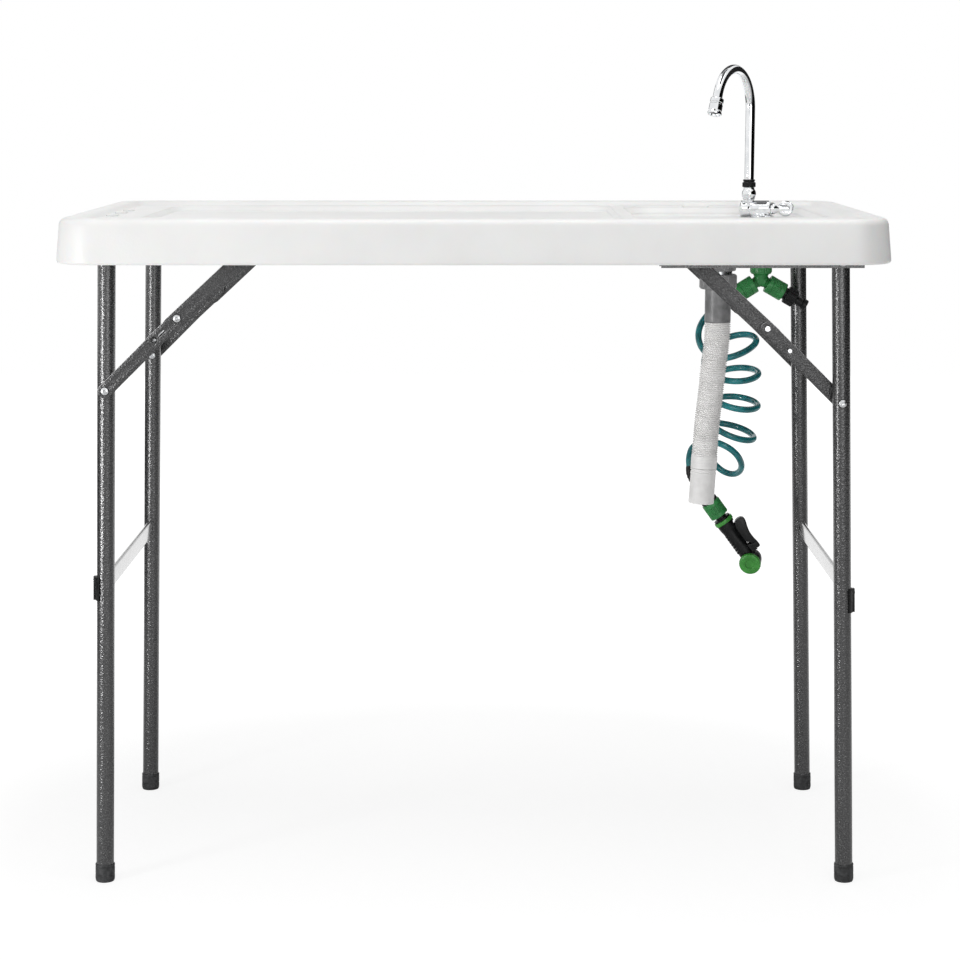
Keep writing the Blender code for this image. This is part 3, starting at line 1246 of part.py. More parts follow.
def make_gun_sleeve():
    bore = 0.0085 + GAP
    return make_sleeve("gun_sleeve", gun_point(0.0010), gun_heading(), GUN_SLEEVE_RADIUS,
                       GUN_SLEEVE_LENGTH - SLEEVE_TRAVEL, bore)


def make_gun_ring():
    start = GUN_SLEEVE_LENGTH + 0.0050
    r = GUN_SLEEVE_RADIUS + 0.0005
    outer = [(r - 0.001, 0.0), (r, 0.001), (r, GUN_RING_LENGTH - 0.001), (r - 0.001, GUN_RING_LENGTH)]
    bore = [(0.0070, GUN_RING_LENGTH), (0.0070, 0.0)]
    return turned("gun_ring", outer, gun_point(start), gun_heading(), LIME_PLASTIC, bore)


GRIP_START = GUN_SLEEVE_LENGTH + 0.0050 + GUN_RING_LENGTH + GAP


def oval(half_wide, half_deep, count=16):
    return [(half_wide * math.cos(math.tau * i / count), half_deep * math.sin(math.tau * i / count))
            for i in range(count)]


def make_gun_body():
    """The grip: a loft that swells to the palm and thins to the head, with the head's barrel across it."""
    sections = [
        (0.000, 0.0125, 0.0125, 0.000),
        (0.012, 0.0115, 0.0120, 0.000),
        (0.026, 0.0105, 0.0120, -0.001),
        (0.044, 0.0110, 0.0125, -0.002),
        (0.060, 0.0125, 0.0130, -0.001),
        (GUN_GRIP_LENGTH, 0.0130, 0.0130, 0.000),
    ]
    rings = []
    for along, half_wide, half_deep, shift in sections:
        outline = [(x + shift, y) for x, y in oval(half_wide, half_deep)]
        rings.append((outline, along))
    body = loft("gun_body", rings, BLACK_PLASTIC)
    body.data.shade_smooth()
    side = gun_point(0.0, 1.0) - gun_start()
    body.matrix_world = Matrix.Translation(gun_point(GRIP_START)) @ Matrix(
        (side, gun_heading().cross(side), gun_heading())).transposed().to_4x4()
    r = GUN_HEAD_RADIUS
    centre = gun_point(GRIP_START + GUN_GRIP_LENGTH - 0.002)
    barrel = turned("gun_barrel",
                    [(r * 0.55, -0.4 * GUN_HEAD_LENGTH), (r * 0.85, -0.34 * GUN_HEAD_LENGTH),
                     (r * 0.96, -0.1 * GUN_HEAD_LENGTH), (r, 0.35 * GUN_HEAD_LENGTH),
                     (r * 0.92, 0.5 * GUN_HEAD_LENGTH)],
                    centre, head_axis(), None, None, ROUND_STEPS, CUTTERS)
    combine(body, as_cutter(barrel), "UNION")
    for depth in (-1, 1):
        combine(body, trigger_cheek(depth), "UNION")
    half = TRIGGER_THICKNESS / 2 + GAP + TRIGGER_CHEEK * 0.8
    pin = cylinder_cutter("trigger_pin", trigger_pivot() - BACKWARD * half, trigger_pivot() + BACKWARD * half,
                          TRIGGER_PIN_RADIUS)
    combine(body, pin, "UNION")
    return body


def trigger_cheek(depth):
    """One of the two ears on the grip that carry the trigger's pin."""
    outline = arc((TRIGGER_FROM_AXIS, 0.0), TRIGGER_PIN_RADIUS + 0.0022, -90, 90, 6)
    outline += [(0.004, 0.010), (0.004, -0.009)]
    side = gun_point(0.0, 1.0) - gun_start()
    offset = depth * (TRIGGER_THICKNESS / 2 + GAP + TRIGGER_CHEEK / 2)
    at = gun_point(GRIP_START + GUN_GRIP_LENGTH - TRIGGER_FROM_HEAD) + BACKWARD * offset
    return as_cutter(plate("trigger_cheek", [outline], TRIGGER_CHEEK, None, at, side, gun_heading(), CUTTERS))


def head_axis():
    """The way the spray leaves: to the front, a little down and to the left."""
    return Vector((-0.22, -0.95, -0.22)).normalized()


def make_gun_dial():
    centre = gun_point(GRIP_START + GUN_GRIP_LENGTH - 0.002)
    r, t = GUN_DIAL_RADIUS, GUN_DIAL_THICKNESS
    profile = [(r * 0.80, 0.0), (r, 0.001), (r, t * 0.6), (r * 0.94, t * 0.85), (r * 0.80, t), (r * 0.45, t),
               (r * 0.40, t * 0.7)]
    at = centre + head_axis() * (0.5 * GUN_HEAD_LENGTH + GAP)
    return turned("gun_dial", profile, at, head_axis(), LIME_PLASTIC)


def trigger_pivot():
    return gun_point(GRIP_START + GUN_GRIP_LENGTH - TRIGGER_FROM_HEAD, TRIGGER_FROM_AXIS)


def make_gun_trigger():
    """A curved lever beside the grip, hinged near the head."""
    side = gun_point(0.0, 1.0) - gun_start()
    back = -gun_heading()
    outline = [(-0.0050, -0.0040), (0.0, -0.0050), (0.0050, -0.0050), (0.012, -0.0052), (0.026, -0.0028),
               (0.038, 0.0006), (0.046, 0.0042), (0.049, 0.0080), (0.047, 0.0104), (0.043, 0.0098),
               (0.036, 0.0066), (0.026, 0.0044), (0.014, 0.0040), (0.0, 0.0050), (-0.0050, 0.0040)]
    pin_hole = arc((0.0, 0.0), TRIGGER_PIN_RADIUS + GAP, 0, 360 - 360 / SMALL_STEPS, SMALL_STEPS - 1)
    return plate("gun_trigger", [outline, pin_hole], TRIGGER_THICKNESS, BLACK_PLASTIC, trigger_pivot(), back, side)


def make_spray_gun():
    make_gun_connector()
    make_gun_sleeve()
    make_gun_ring()
    make_gun_body()
    make_gun_dial()
    make_gun_trigger()


make_table_top()
make_frames()
make_tap()
make_drain()
make_splitter()
make_splitter_sleeves()
make_hose_tail()
make_adapter()
make_coil_hose()
make_hose_boot()
make_spray_gun()
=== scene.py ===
"""The looks of a foldable camping sink: a moulded folding table with a tap, a drain hose and a spray hose.

Metres, +Z up. The origin is on the floor under the middle of the table top, +X is to the right and
-Y is the front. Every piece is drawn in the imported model's own frame.
"""

import json
import math

import bmesh
import bpy
from mathutils import Matrix, Vector


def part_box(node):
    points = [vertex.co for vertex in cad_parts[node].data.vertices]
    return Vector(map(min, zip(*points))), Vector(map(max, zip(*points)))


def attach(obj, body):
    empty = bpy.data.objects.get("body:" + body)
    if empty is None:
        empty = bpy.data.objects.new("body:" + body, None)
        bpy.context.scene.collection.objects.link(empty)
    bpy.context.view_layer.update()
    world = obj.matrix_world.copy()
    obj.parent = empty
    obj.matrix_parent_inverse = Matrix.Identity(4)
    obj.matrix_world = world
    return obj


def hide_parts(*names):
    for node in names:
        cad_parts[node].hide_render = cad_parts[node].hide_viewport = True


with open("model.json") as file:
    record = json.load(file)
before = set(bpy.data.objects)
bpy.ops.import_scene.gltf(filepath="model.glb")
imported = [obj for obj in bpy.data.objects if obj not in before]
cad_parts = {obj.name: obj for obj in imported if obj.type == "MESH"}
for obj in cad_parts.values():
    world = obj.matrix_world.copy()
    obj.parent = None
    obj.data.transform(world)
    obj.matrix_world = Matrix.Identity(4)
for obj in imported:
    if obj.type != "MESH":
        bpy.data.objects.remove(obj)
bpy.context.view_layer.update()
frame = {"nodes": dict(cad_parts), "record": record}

UP = Vector((0, 0, 1))
RIGHTWARD = Vector((1, 0, 0))
BACKWARD = Vector((0, 1, 0))
SIDES = {"left": -1, "right": 1}
DEPTHS = {"front": -1, "rear": 1}

record = frame["record"]
JOINTS = {joint["name"]: joint for joint in record["behaviour"]["joints"]}
BODY_OF = {node: body for body, nodes in record["behaviour"]["bodies"].items() for node in nodes}
SLOT_OF = {part["node"]: part["material_slot"] for part in record["subparts"]}


# Camera, fitted to the photograph: 2333 pixels of focal length in a frame 960 pixels wide
SENSOR_MM = 36.0
LENS_MM = 87.5
LENS_SHIFT = -0.0115
CAMERA_PLACE = (0.0237, -3.462, 1.114)
CAMERA_DIP = 9.28


def make_camera():
    camera = bpy.data.objects.new("camera", bpy.data.cameras.new("camera"))
    bpy.context.scene.collection.objects.link(camera)
    camera.data.sensor_width = SENSOR_MM
    camera.data.lens = LENS_MM
    camera.data.shift_x = LENS_SHIFT
    camera.location = CAMERA_PLACE
    camera.rotation_euler = (math.radians(90.0 - CAMERA_DIP), 0.0, 0.0)
    bpy.context.scene.camera = camera


make_camera()


# Node trees and materials
def add(tree, kind, values=None, links=None, **settings):
    """Adds a node with its settings, the values of its inputs and the sockets that feed them."""
    made = tree.nodes.new(kind)
    for key, value in settings.items():
        setattr(made, key, value)
    for key, value in (values or {}).items():
        made.inputs[key].default_value = value
    for key, socket in (links or {}).items():
        tree.links.new(socket, made.inputs[key])
    return made


def calc(tree, operation, *terms):
    """The result of a sum such as ADD or MULTIPLY, whose terms are sockets and numbers."""
    made = add(tree, "ShaderNodeMath", operation=operation)
    for index, term in enumerate(terms):
        if isinstance(term, float):
            made.inputs[index].default_value = term
        else:
            tree.links.new(term, made.inputs[index])
    return made.outputs[0]


def spread(tree, value, low, high, first=0.0, last=1.0):
    """Runs from first to last while the socket value runs from low to high."""
    made = add(tree, "ShaderNodeMapRange",
               {"From Min": low, "From Max": high, "To Min": first, "To Max": last}, {"Value": value})
    return made.outputs["Result"]


def mottle(tree, size_mm, detail):
    """Soft noise whose patches are size_mm across."""
    place = add(tree, "ShaderNodeTexCoord").outputs["Object"]
    noise = add(tree, "ShaderNodeTexNoise", {"Scale": per_metre(size_mm), "Detail": detail},
                {"Vector": place})
    return noise.outputs["Fac"]


def linear(colour):
    """An sRGB colour, written as six hex digits, as linear red, green, blue and alpha."""
    channels = [int(colour[start:start + 2], 16) / 255 for start in (0, 2, 4)]
    return (*(c / 12.92 if c <= 0.04045 else ((c + 0.055) / 1.055) ** 2.4 for c in channels), 1.0)


def per_metre(size_mm):
    """The scale of a pattern whose features are that many millimetres across."""
    return 1000.0 / size_mm


def new_material(name, roughness, metallic=0.0, ior=1.5):
    made = bpy.data.materials.new(name)
    made.use_nodes = True
    tree = made.node_tree
    shader = tree.nodes["Principled BSDF"]
    shader.inputs["Roughness"].default_value = roughness
    shader.inputs["Metallic"].default_value = metallic
    if metallic < 0.5:
        shader.inputs["IOR"].default_value = ior
    return made, tree, shader


def patch_colours(tree, shader, size_mm, stops, detail=2.0, low=0.35, high=0.65):
    """Colours the surface by a soft noise whose patches are size_mm across."""
    ramp = add(tree, "ShaderNodeValToRGB", links={"Fac": mottle(tree, size_mm, detail)})
    while len(ramp.color_ramp.elements) < len(stops):
        ramp.color_ramp.elements.new(0.5)
    for index, colour in enumerate(stops):
        element = ramp.color_ramp.elements[index]
        element.position = low + (high - low) * index / (len(stops) - 1)
        element.color = linear(colour)
    tree.links.new(ramp.outputs["Color"], shader.inputs["Base Color"])
    return ramp


def patch_gloss(tree, shader, size_mm, glossy, dull):
    """Varies the roughness from glossy to dull over patches size_mm across."""
    gloss = spread(tree, mottle(tree, size_mm, 3.0), 0.3, 0.7, glossy, dull)
    tree.links.new(gloss, shader.inputs["Roughness"])


def grain(tree, shader, size_mm, depth_mm, strength=1.0, kind="ShaderNodeTexNoise"):
    """A moulded or sprayed grain, as a bump of that size and depth."""
    place = add(tree, "ShaderNodeTexCoord").outputs["Object"]
    pattern = add(tree, kind, {"Scale": per_metre(size_mm)}, {"Vector": place})
    height = pattern.outputs["Distance"] if kind == "ShaderNodeTexVoronoi" else pattern.outputs["Fac"]
    bump = add(tree, "ShaderNodeBump", {"Strength": strength, "Distance": depth_mm / 1000},
               {"Height": height})
    tree.links.new(bump.outputs["Normal"], shader.inputs["Normal"])


def moulded_polyethylene():
    """Blow-moulded white polyethylene: a waxy white with a pebbled skin. The pebbles are 1 mm on the real
    table and are drawn 3 mm across, so that they show."""
    made, tree, shader = new_material("white_moulded_polyethylene", 0.42, ior=1.51)
    patch_colours(tree, shader, 90.0, ("f1f1f0", "f5f5f4"))
    patch_gloss(tree, shader, 14.0, 0.36, 0.50)
    grain(tree, shader, 3.0, 0.35, 0.5)
    shader.inputs["Subsurface Weight"].default_value = 0.08
    shader.inputs["Subsurface Scale"].default_value = 0.004
    return made


def hammertone(name, gloss, uncoated_with_edge_highlight=False):
    """Hammertone powder coat on steel: dark grey with paler flecks and shallow dimples that sparkle. The
    flecks are under a millimetre on the real tube and are drawn about 2 mm across, so that they show. Tubes
    and rails have a clear coat over it. The straps have none, and their upper edges are painted near-white:
    worn bare metal, with a painted highlight where the light from above falls."""
    made, tree, shader = new_material(name, gloss, 0.25)
    ramp = patch_colours(tree, shader, 1.6, ("1e1e1f", "303031", "3e3e3f", "747475"), 2.0, 0.34, 0.74)
    grain(tree, shader, 2.4, 0.45, 1.0, "ShaderNodeTexVoronoi")
    shader.inputs["Specular IOR Level"].default_value = 0.9
    shader.inputs["Coat Weight"].default_value = 0.0 if uncoated_with_edge_highlight else 0.6
    shader.inputs["Coat Roughness"].default_value = 0.16
    if uncoated_with_edge_highlight:
        paint_upper_edge_highlight(tree, shader, ramp.outputs["Color"])
    return made


def paint_upper_edge_highlight(tree, shader, coat):
    """Near-white where a strap's face turns away from the Y axis and up, which is along its upper edges: worn
    bare metal with a painted highlight, kept to the upper edges because the light falls from above.
    """
    normal = add(tree, "ShaderNodeNewGeometry").outputs["True Normal"]
    parts = add(tree, "ShaderNodeSeparateXYZ", links={"Vector": normal}).outputs
    edge = spread(tree, calc(tree, "ABSOLUTE", parts["Y"]), 0.80, 0.97, 1.0, 0.0)
    # Near-white on the upper edges only: worn bare metal, with a painted highlight from the light above
    edge_highlight = calc(tree, "MULTIPLY", edge, spread(tree, parts["Z"], 0.02, 0.20))
    mixed = add(tree, "ShaderNodeMix", {7: linear("efeff0")}, {"Factor": edge_highlight, 6: coat}, data_type="RGBA")
    tree.links.new(mixed.outputs[2], shader.inputs["Base Color"])


def glossy_enamel():
    """Smooth dark enamel on the flat cross bars, glossy enough to mirror the light at a low angle."""
    made, tree, shader = new_material("glossy_grey_enamel", 0.22, 0.45)
    patch_colours(tree, shader, 6.0, ("4a4a4b", "6a6a6b", "8b8b8c"), 3.0)
    grain(tree, shader, 5.0, 0.12, 0.4)
    shader.inputs["Coat Weight"].default_value = 1.0
    shader.inputs["Coat Roughness"].default_value = 0.06
    return made


def black_rubber():
    """Moulded black rubber: nearly flat, greyed where it is scuffed."""
    made, tree, shader = new_material("black_moulded_rubber", 0.62, ior=1.40)
    patch_colours(tree, shader, 7.0, ("2c2c2d", "393a3b", "484849"), 4.0)
    grain(tree, shader, 1.6, 0.15, 0.6)
    return made


def black_plastic():
    """Injection-moulded black ABS with a fine spark grain and a soft sheen."""
    made, tree, shader = new_material("black_moulded_abs", 0.34, ior=1.36)
    patch_colours(tree, shader, 12.0, ("08090a", "0c0d0e", "121415"), 3.0)
    patch_gloss(tree, shader, 6.0, 0.28, 0.46)
    grain(tree, shader, 1.4, 0.08, 0.5)
    return made


def coloured_plastic(name, stops, glossy, dull, size_mm=9.0):
    """Injection-moulded plastic in one colour that is a little uneven."""
    made, tree, shader = new_material(name, (glossy + dull) / 2)
    patch_colours(tree, shader, size_mm, stops, 3.0)
    patch_gloss(tree, shader, 5.0, glossy, dull)
    grain(tree, shader, 2.2, 0.06, 0.4)
    return made


def plated_metal(name, stops, glossy, dull, size_mm, depth_mm):
    """Bare or plated metal: the roughness wanders a little, as a wiped surface does."""
    made, tree, shader = new_material(name, (glossy + dull) / 2, 1.0)
    patch_colours(tree, shader, size_mm, stops, 2.0)
    patch_gloss(tree, shader, size_mm / 2, glossy, dull)
    if depth_mm:
        grain(tree, shader, size_mm / 4, depth_mm, 0.3)
    return made


def teal_hose():
    """Coiled polyurethane hose: a clear teal wall with a wet gloss."""
    made, tree, shader = new_material("teal_polyurethane", 0.14)
    patch_colours(tree, shader, 22.0, ("1a666b", "20777c", "27898d"), 2.0)
    patch_gloss(tree, shader, 9.0, 0.08, 0.20)
    shader.inputs["Subsurface Weight"].default_value = 0.15
    shader.inputs["Subsurface Scale"].default_value = 0.003
    return made


MATERIALS = {
    "white_polyethylene": moulded_polyethylene(),
    "hammertone_steel": hammertone("grey_hammertone_coat", 0.24),
    "black_rubber": black_rubber(),
    "black_plastic": black_plastic(),
    "zinc_steel": plated_metal("zinc_plated_steel", ("c2c4c6", "dfe0e1"), 0.22, 0.34, 4.0, 0.02),
    "chrome": plated_metal("polished_chrome_plate", ("e2e4e6", "f0f1f2"), 0.03, 0.08, 12.0, 0.0),
    "stainless_steel": plated_metal("stainless_steel_sheet", ("b0b2b4", "c8cacb"), 0.18, 0.30, 6.0, 0.02),
    "grey_pvc": coloured_plastic("grey_moulded_pvc", ("6e6e6f", "7c7c7d", "8b8b8c"), 0.30, 0.45, 14.0),
    "pale_pvc": coloured_plastic("pale_flexible_pvc", ("eae9e8", "f0efee", "f5f4f3"), 0.40, 0.55, 16.0),
    "green_abs": coloured_plastic("green_moulded_abs", ("26753a", "2c8040", "348b49"), 0.26, 0.40, 16.0),
    "lime_abs": coloured_plastic("lime_moulded_abs", ("34862f", "3c9337", "469f40"), 0.26, 0.40, 16.0),
    "teal_hose": teal_hose(),
}
# The straps' coat, with a painted highlight along their upper edges
LINK_COAT = hammertone("hammertone_with_worn_edges_and_painted_highlight", 0.36, True)
BAR_ENAMEL = glossy_enamel()
# Near-black paint for painted shade: inside the aerator's mouth, and in rings round the rivet heads and the
# lock holes
PAINTED_SHADE = coloured_plastic("painted_shade_black", ("050505", "0a0a0a", "101010"), 0.6, 0.8)
ZINC = MATERIALS["zinc_steel"]
BLACK_PLASTIC = MATERIALS["black_plastic"]


# Mesh helpers
def new_piece(name, mesh):
    piece = bpy.data.objects.new(name, mesh)
    bpy.context.scene.collection.objects.link(piece)
    return piece


def from_shape(name, shape, sharp_degrees=32.0):
    bmesh.ops.recalc_face_normals(shape, faces=shape.faces)
    mesh = bpy.data.meshes.new(name)
    shape.to_mesh(mesh)
    shape.free()
    smooth(mesh, sharp_degrees)
    return new_piece(name, mesh)


def smooth(mesh, sharp_degrees=32.0):
    mesh.shade_smooth()
    mesh.set_sharp_from_angle(angle=math.radians(sharp_degrees))


def facing(at, toward):
    """The place of a shape whose own Z points along toward."""
    return Matrix.Translation(at) @ Vector(toward).normalized().to_track_quat("Z", "Y").to_matrix().to_4x4()


def framed(at, along, across):
    """The place of a shape whose own X and Y point along and across."""
    along, across = Vector(along).normalized(), Vector(across).normalized()
    return Matrix.Translation(at) @ Matrix((along, across, along.cross(across))).transposed().to_4x4()


def turned(name, profile, at, toward, steps=56, ring=False):
    """Turns (radius, height) points about an axis. Points on the axis become poles, and a ring closes on
    itself."""
    shape = bmesh.new()
    rows = []
    for radius, height in profile:
        if radius < 1e-7:
            rows.append([shape.verts.new((0.0, 0.0, height))])
            continue
        turns = [math.tau * i / steps for i in range(steps)]
        rows.append([shape.verts.new((radius * math.cos(t), radius * math.sin(t), height)) for t in turns])
    pairs = list(zip(rows, rows[1:])) + ([(rows[-1], rows[0])] if ring else [])
    for lower, upper in pairs:
        for i in range(steps):
            j = (i + 1) % steps
            corners = [lower[i % len(lower)], lower[j % len(lower)],
                       upper[j % len(upper)], upper[i % len(upper)]]
            shape.faces.new(list(dict.fromkeys(corners)))
    shape.transform(facing(at, toward))
    return from_shape(name, shape)


def solid(points):
    """A profile closed at both ends on the axis."""
    return [(0.0, points[0][1])] + list(points) + [(0.0, points[-1][1])]


def rod(name, radius, low, high, at, toward, steps=56):
    """A plain round bar that runs from low to high along its axis."""
    return turned(name, solid([(radius, low), (radius, high)]), at, toward, steps)


def arc(centre, radius, start, end, steps):
    """Points on an arc in a plane, both ends included. Angles in degrees."""
    turn = [math.radians(start + (end - start) * i / steps) for i in range(steps + 1)]
    return [(centre[0] + radius * math.cos(t), centre[1] + radius * math.sin(t)) for t in turn]


def circle(centre, radius, steps=32):
    return arc(centre, radius, 0, 360 - 360 / steps, steps - 1)


def rounded_rectangle(half_x, half_y, radius, centre=(0.0, 0.0), corner_steps=14):
    corners = ((1, 1, 0), (-1, 1, 90), (-1, -1, 180), (1, -1, 270))
    points = []
    for side_x, side_y, start in corners:
        middle = (centre[0] + side_x * (half_x - radius), centre[1] + side_y * (half_y - radius))
        points += arc(middle, radius, start, start + 90, corner_steps)
    return points


def loft(name, rings, matrix=None, sharp_degrees=32.0):
    """A closed solid through rings of equal count. Each ring is (outline, height), the ends are capped."""
    shape = bmesh.new()
    rows = [[shape.verts.new((x, y, height)) for x, y in outline] for outline, height in rings]
    count = len(rows[0])
    for lower, upper in zip(rows, rows[1:]):
        for i in range(count):
            j = (i + 1) % count
            shape.faces.new((lower[i], lower[j], upper[j], upper[i]))
    shape.faces.new(rows[0])
    shape.faces.new(rows[-1])
    if matrix:
        shape.transform(matrix)
    return from_shape(name, shape, sharp_degrees)


def bake(piece):
    """Turns a piece's modifiers into its mesh."""
    view = bpy.context.evaluated_depsgraph_get()
    mesh = bpy.data.meshes.new_from_object(piece.evaluated_get(view))
    piece.modifiers.clear()
    if piece.type == "MESH":
        piece.data = mesh
        return piece
    name = piece.name
    bpy.data.objects.remove(piece)
    return new_piece(name, mesh)


def carve(piece, *tools, operation="DIFFERENCE"):
    """Cuts tools from a piece, or joins them to it, and removes them."""
    for tool in tools:
        change = piece.modifiers.new(tool.name, "BOOLEAN")
        change.operation = operation
        change.object = tool
    bake(piece)
    for tool in tools:
        bpy.data.objects.remove(tool)
    smooth(piece.data)
    return piece


def weld(mesh):
    shape = bmesh.new()
    shape.from_mesh(mesh)
    bmesh.ops.remove_doubles(shape, verts=shape.verts, dist=0.000002)
    bmesh.ops.recalc_face_normals(shape, faces=shape.faces)
    shape.to_mesh(mesh)
    shape.free()


def plate(name, outlines, thickness, at, along, across, edge=0.0003):
    """A flat piece with eased edges. Its outline lies in the plane of along and across; holes follow it."""
    curve = bpy.data.curves.new(name, "CURVE")
    curve.dimensions = "2D"
    curve.fill_mode = "BOTH"
    curve.bevel_depth = edge
    curve.bevel_resolution = 2
    curve.offset = -edge
    curve.extrude = thickness / 2 - edge
    for outline in outlines:
        spline = curve.splines.new("POLY")
        spline.points.add(len(outline) - 1)
        for point, (x, y) in zip(spline.points, outline):
            point.co = (x, y, 0.0, 1.0)
        spline.use_cyclic_u = True
    piece = bake(new_piece(name, curve))
    piece.data.transform(framed(at, along, across))
    weld(piece.data)
    smooth(piece.data, 40.0)
    return piece


def dress(piece, node=None, like=None, material=None):
    """Gives a piece its finish, its body and its slot. It stands for node, or goes with the CAD node like."""
    source = node or like
    piece.data.materials.clear()
    piece.data.materials.append(material or MATERIALS[SLOT_OF[source]])
    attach(piece, BODY_OF[source])
    if node:
        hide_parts(node)
    return piece


# Geometry Nodes: each tree ends in Realize Instances and Set Material
def new_tree(name, inputs):
    """A tree with named inputs for its sizes, given as {name: kind of socket}."""
    tree = bpy.data.node_groups.new(name, "GeometryNodeTree")
    for label, kind in {"Geometry": "Geometry", **inputs}.items():
        tree.interface.new_socket(label, in_out="INPUT", socket_type="NodeSocket" + kind)
    tree.interface.new_socket("Geometry", in_out="OUTPUT", socket_type="NodeSocketGeometry")
    return tree, tree.nodes.new("NodeGroupInput").outputs


def close_tree(tree, geometry, material):
    real = add(tree, "GeometryNodeRealizeInstances", links={"Geometry": geometry})
    coated = add(tree, "GeometryNodeSetMaterial", links={"Geometry": real.outputs[0], "Material": material})
    add(tree, "NodeGroupOutput", links={0: coated.outputs[0]})
    return tree


def copied(tree, places, item):
    """A copy of item at each of the places."""
    links = {"Points": places.outputs[0], "Instance": item.outputs[0]}
    return add(tree, "GeometryNodeInstanceOnPoints", links=links).outputs[0]


def ribs_tree():
    """Round ribs spaced evenly about an axis, half sunk in what carries them."""
    tree, given = new_tree("ribs_about_an_axis", {
        "Count": "Int", "Radius": "Float", "Rib Radius": "Float", "Rib Length": "Float", "Start": "Float",
        "Material": "Material"})
    places = add(tree, "GeometryNodeMeshCircle",
                 links={"Vertices": given["Count"], "Radius": given["Radius"]})
    rib = add(tree, "GeometryNodeMeshCylinder", {"Vertices": 10},
              {"Radius": given["Rib Radius"], "Depth": given["Rib Length"]})
    lift = calc(tree, "ADD", calc(tree, "MULTIPLY", given["Rib Length"], 0.5), given["Start"])
    at = add(tree, "ShaderNodeCombineXYZ", links={"Z": lift})
    raised = add(tree, "GeometryNodeTransform",
                 links={"Geometry": copied(tree, places, rib), "Translation": at.outputs[0]})
    return close_tree(tree, raised.outputs[0], given["Material"])


def row_tree():
    """A straight row of round heads or ribs, with their axes along Z."""
    tree, given = new_tree("row_of_heads", {
        "Count": "Int", "Step": "Vector", "Head Radius": "Float", "Head Height": "Float",
        "Material": "Material"})
    places = add(tree, "GeometryNodeMeshLine", links={"Count": given["Count"], "Offset": given["Step"]},
                 mode="OFFSET")
    head = add(tree, "GeometryNodeMeshCylinder", {"Vertices": 20},
               {"Radius": given["Head Radius"], "Depth": given["Head Height"]})
    return close_tree(tree, copied(tree, places, head), given["Material"])


# Ribs of the hose: samples along each, how far flexed ribs wander, and the plain end that they fade to
SAMPLES_PER_RIB = 8.0
RIB_WANDER = 1.6
WANDER_MM = 26.0
RIB_FADE = 0.002
PLAIN_END = 0.019
TUCK_DEPTH = 0.0038
TUCK_START = PLAIN_END - 0.0003
TUCK_FULL = PLAIN_END + 0.0002


def ribbed_hose_tree():
    """A hose wall drawn along a curve. Its radius swings between ridge and valley once a pitch, and the swing
    wanders a little, as on a hose that has been flexed. The ribs stop before the plain end, and what runs on
    beyond that end is narrower by the depth of the tuck, so that a cuff has room round it."""
    tree, given = new_tree("ribbed_hose_wall", {
        "Ridge Radius": "Float", "Valley Depth": "Float", "Pitch": "Float", "Ribs End": "Float",
        "Material": "Material"})
    step = calc(tree, "DIVIDE", given["Pitch"], SAMPLES_PER_RIB)
    line = add(tree, "GeometryNodeResampleCurve", links={"Curve": given["Geometry"], "Length": step},
               mode="LENGTH")
    along = add(tree, "GeometryNodeSplineParameter").outputs["Length"]
    spot = add(tree, "GeometryNodeInputPosition").outputs[0]
    noise = add(tree, "ShaderNodeTexNoise", {"Scale": per_metre(WANDER_MM), "Detail": 1.0},
                {"Vector": spot})
    wander = noise.outputs["Fac"]
    turns = calc(tree, "DIVIDE", along, given["Pitch"])
    phase = calc(tree, "ADD", turns, calc(tree, "MULTIPLY", wander, RIB_WANDER))
    wave = calc(tree, "COSINE", calc(tree, "MULTIPLY", phase, math.tau))
    left = calc(tree, "SUBTRACT", given["Ribs End"], along)
    faded = calc(tree, "MULTIPLY", spread(tree, wave, -1.0, 1.0, 1.0, 0.0),
                 spread(tree, left, 0.0, RIB_FADE))
    flexed = calc(tree, "MULTIPLY", faded, spread(tree, wander, 0.3, 0.7, 0.5, 1.1))
    drop = calc(tree, "MULTIPLY", flexed, given["Valley Depth"])
    tuck = spread(tree, left, -TUCK_FULL, -TUCK_START, TUCK_DEPTH, 0.0)
    radius = calc(tree, "SUBTRACT", given["Ridge Radius"], calc(tree, "ADD", drop, tuck))
    ring = add(tree, "GeometryNodeCurvePrimitiveCircle", {"Resolution": 48, "Radius": 1.0})
    wall = add(tree, "GeometryNodeCurveToMesh", {"Fill Caps": True},
               {"Curve": line.outputs[0], "Profile Curve": ring.outputs[0], "Scale": radius})
    soft = add(tree, "GeometryNodeSetShadeSmooth", links={0: wall.outputs[0]})
    return close_tree(tree, soft.outputs[0], given["Material"])


RIBS = ribs_tree()
ROW = row_tree()
RIBBED_HOSE = ribbed_hose_tree()


def grown(name, tree, sizes, data=None):
    """The mesh that a tree makes, with its sizes set by the sockets' identifiers."""
    piece = new_piece(name, data or bpy.data.meshes.new(name))
    change = piece.modifiers.new("grow", "NODES")
    change.node_group = tree
    for item in tree.interface.items_tree:
        if item.in_out == "INPUT" and item.name in sizes:
            change[item.identifier] = sizes[item.name]
    return bake(piece)


def ribs(name, like, count, radius, rib_radius, start, length, at, toward):
    """Ribs about an axis on the piece that stands for the CAD node like."""
    piece = grown(name, RIBS, {"Count": count, "Radius": radius, "Rib Radius": rib_radius,
                               "Rib Length": length, "Start": start,
                               "Material": MATERIALS[SLOT_OF[like]]})
    piece.data.transform(facing(at, toward))
    smooth(piece.data, 50.0)
    return dress(piece, like=like)


def row(name, like, count, step, radius, height, at, along, across, material=None):
    """A row that runs along, of heads that lie in the plane of along and across."""
    piece = grown(name, ROW, {"Count": count, "Step": (step, 0.0, 0.0), "Head Radius": radius,
                              "Head Height": height, "Material": material or MATERIALS[SLOT_OF[like]]})
    piece.data.transform(framed(at, along, across))
    smooth(piece.data, 50.0)
    return dress(piece, like=like, material=material)


